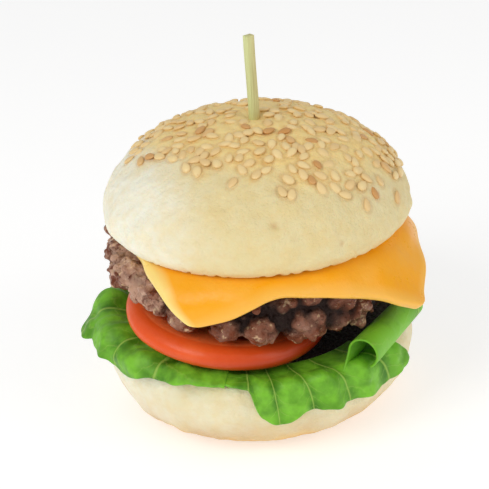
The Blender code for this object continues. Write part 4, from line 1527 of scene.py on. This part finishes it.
class BURGER_OT_lay_lettuce(bpy.types.Operator):
    """Lay the lettuce leaves round the heel."""
    bl_idname = "burger.lay_lettuce"
    bl_label = "Lettuce leaves"

    def execute(self, context):
        lettuce = context.scene.burger.lettuce
        mat = leaf_material(lettuce, "lettuce_leaf", 0.5)
        for side, leaf, size, seed in (
                ("left", LEFT_LEAF, (76 * MM, 28 * MM), 3),
                ("front", FRONT_LEAF, (60 * MM, 20 * MM), 4),
                ("back", BACK_LEAF, (96 * MM, 32 * MM), 6)):
            blade = leaf_blade("leaf_" + side, lettuce, mat, partial(leaf_place, leaf), size,
                               leaf.ribs, leaf.folds, seed)
            dress(blade, "lettuce_" + side)
        young = leaf_material(lettuce, "lettuce_young_leaf", 1.1)
        rolled = leaf_blade("leaf_roll", lettuce, young, roll_place, (36 * MM, 22 * MM), ROLL_RIBS, (), 8,
                            crispness=0.2)
        dress(rolled, "lettuce_roll")
        return {"FINISHED"}


class BURGER_OT_split_skewer(bpy.types.Operator):
    """Build the bamboo skewer."""
    bl_idname = "burger.split_skewer"
    bl_label = "Bamboo skewer"

    def execute(self, context):
        dress(bamboo_stick(context.scene.burger.skewer), "skewer")
        return {"FINISHED"}


class BURGER_OT_set_studio(bpy.types.Operator):
    """Set up the floor, the lights and the camera."""
    bl_idname = "burger.set_studio"
    bl_label = "Studio"

    def execute(self, context):
        studio = context.scene.burger.studio
        scene = context.scene
        studio_floor(studio)
        place_camera()
        soft_light("key_light", KEY_PLACE, CAMERA_TARGET, 0.45, studio.key_power, (1.0, 0.99, 0.97))
        soft_light("fill_light", FILL_PLACE, CAMERA_TARGET, 0.5, studio.fill_power, (1.0, 0.98, 0.95))
        world = bpy.data.worlds.new("studio_sky")
        world.use_nodes = True
        world.node_tree.nodes["Background"].inputs["Color"].default_value = (1, 1, 1, 1)
        world.node_tree.nodes["Background"].inputs["Strength"].default_value = studio.sky
        scene.world = world
        scene.view_settings.view_transform = "Standard"
        return {"FINISHED"}


class BurgerSettings(bpy.types.PropertyGroup):
    """All settings of the burger."""
    bun: PointerProperty(type=BunSettings, name="Bun")
    seeds: PointerProperty(type=SeedSettings, name="Seeds")
    patty: PointerProperty(type=PattySettings, name="Patty")
    cheese: PointerProperty(type=CheeseSettings, name="Cheese")
    tomato: PointerProperty(type=TomatoSettings, name="Tomato")
    lettuce: PointerProperty(type=LettuceSettings, name="Lettuce")
    skewer: PointerProperty(type=SkewerSettings, name="Skewer")
    studio: PointerProperty(type=StudioSettings, name="Studio")


OPERATORS = (
    BURGER_OT_bake_heel, BURGER_OT_lay_lettuce, BURGER_OT_slice_tomato, BURGER_OT_grill_patty,
    BURGER_OT_melt_cheese, BURGER_OT_bake_crown, BURGER_OT_scatter_seeds, BURGER_OT_split_skewer,
    BURGER_OT_set_studio,
)


class BURGER_PT_builder(bpy.types.Panel):
    """Lists the steps that build the burger."""
    bl_idname = "BURGER_PT_builder"
    bl_label = "Cheeseburger"
    bl_space_type = "VIEW_3D"
    bl_region_type = "UI"
    bl_category = "Burger"

    def draw(self, context):
        for operator in OPERATORS:
            self.layout.operator(operator.bl_idname)


CLASSES = (
    BunSettings, SeedSettings, PattySettings, CheeseSettings, TomatoSettings, LettuceSettings,
    SkewerSettings, StudioSettings, BurgerSettings, *OPERATORS, BURGER_PT_builder,
)


def register():
    for cls in CLASSES:
        bpy.utils.register_class(cls)
    bpy.types.Scene.burger = PointerProperty(type=BurgerSettings)


def unregister():
    del bpy.types.Scene.burger
    for cls in reversed(CLASSES):
        bpy.utils.unregister_class(cls)


def main():
    """Build every piece and the studio."""
    register()
    bpy.ops.burger.bake_heel()
    bpy.ops.burger.lay_lettuce()
    bpy.ops.burger.slice_tomato()
    bpy.ops.burger.grill_patty()
    bpy.ops.burger.melt_cheese()
    bpy.ops.burger.bake_crown()
    bpy.ops.burger.scatter_seeds()
    bpy.ops.burger.split_skewer()
    bpy.ops.burger.set_studio()


if __name__ == "__main__":
    main()
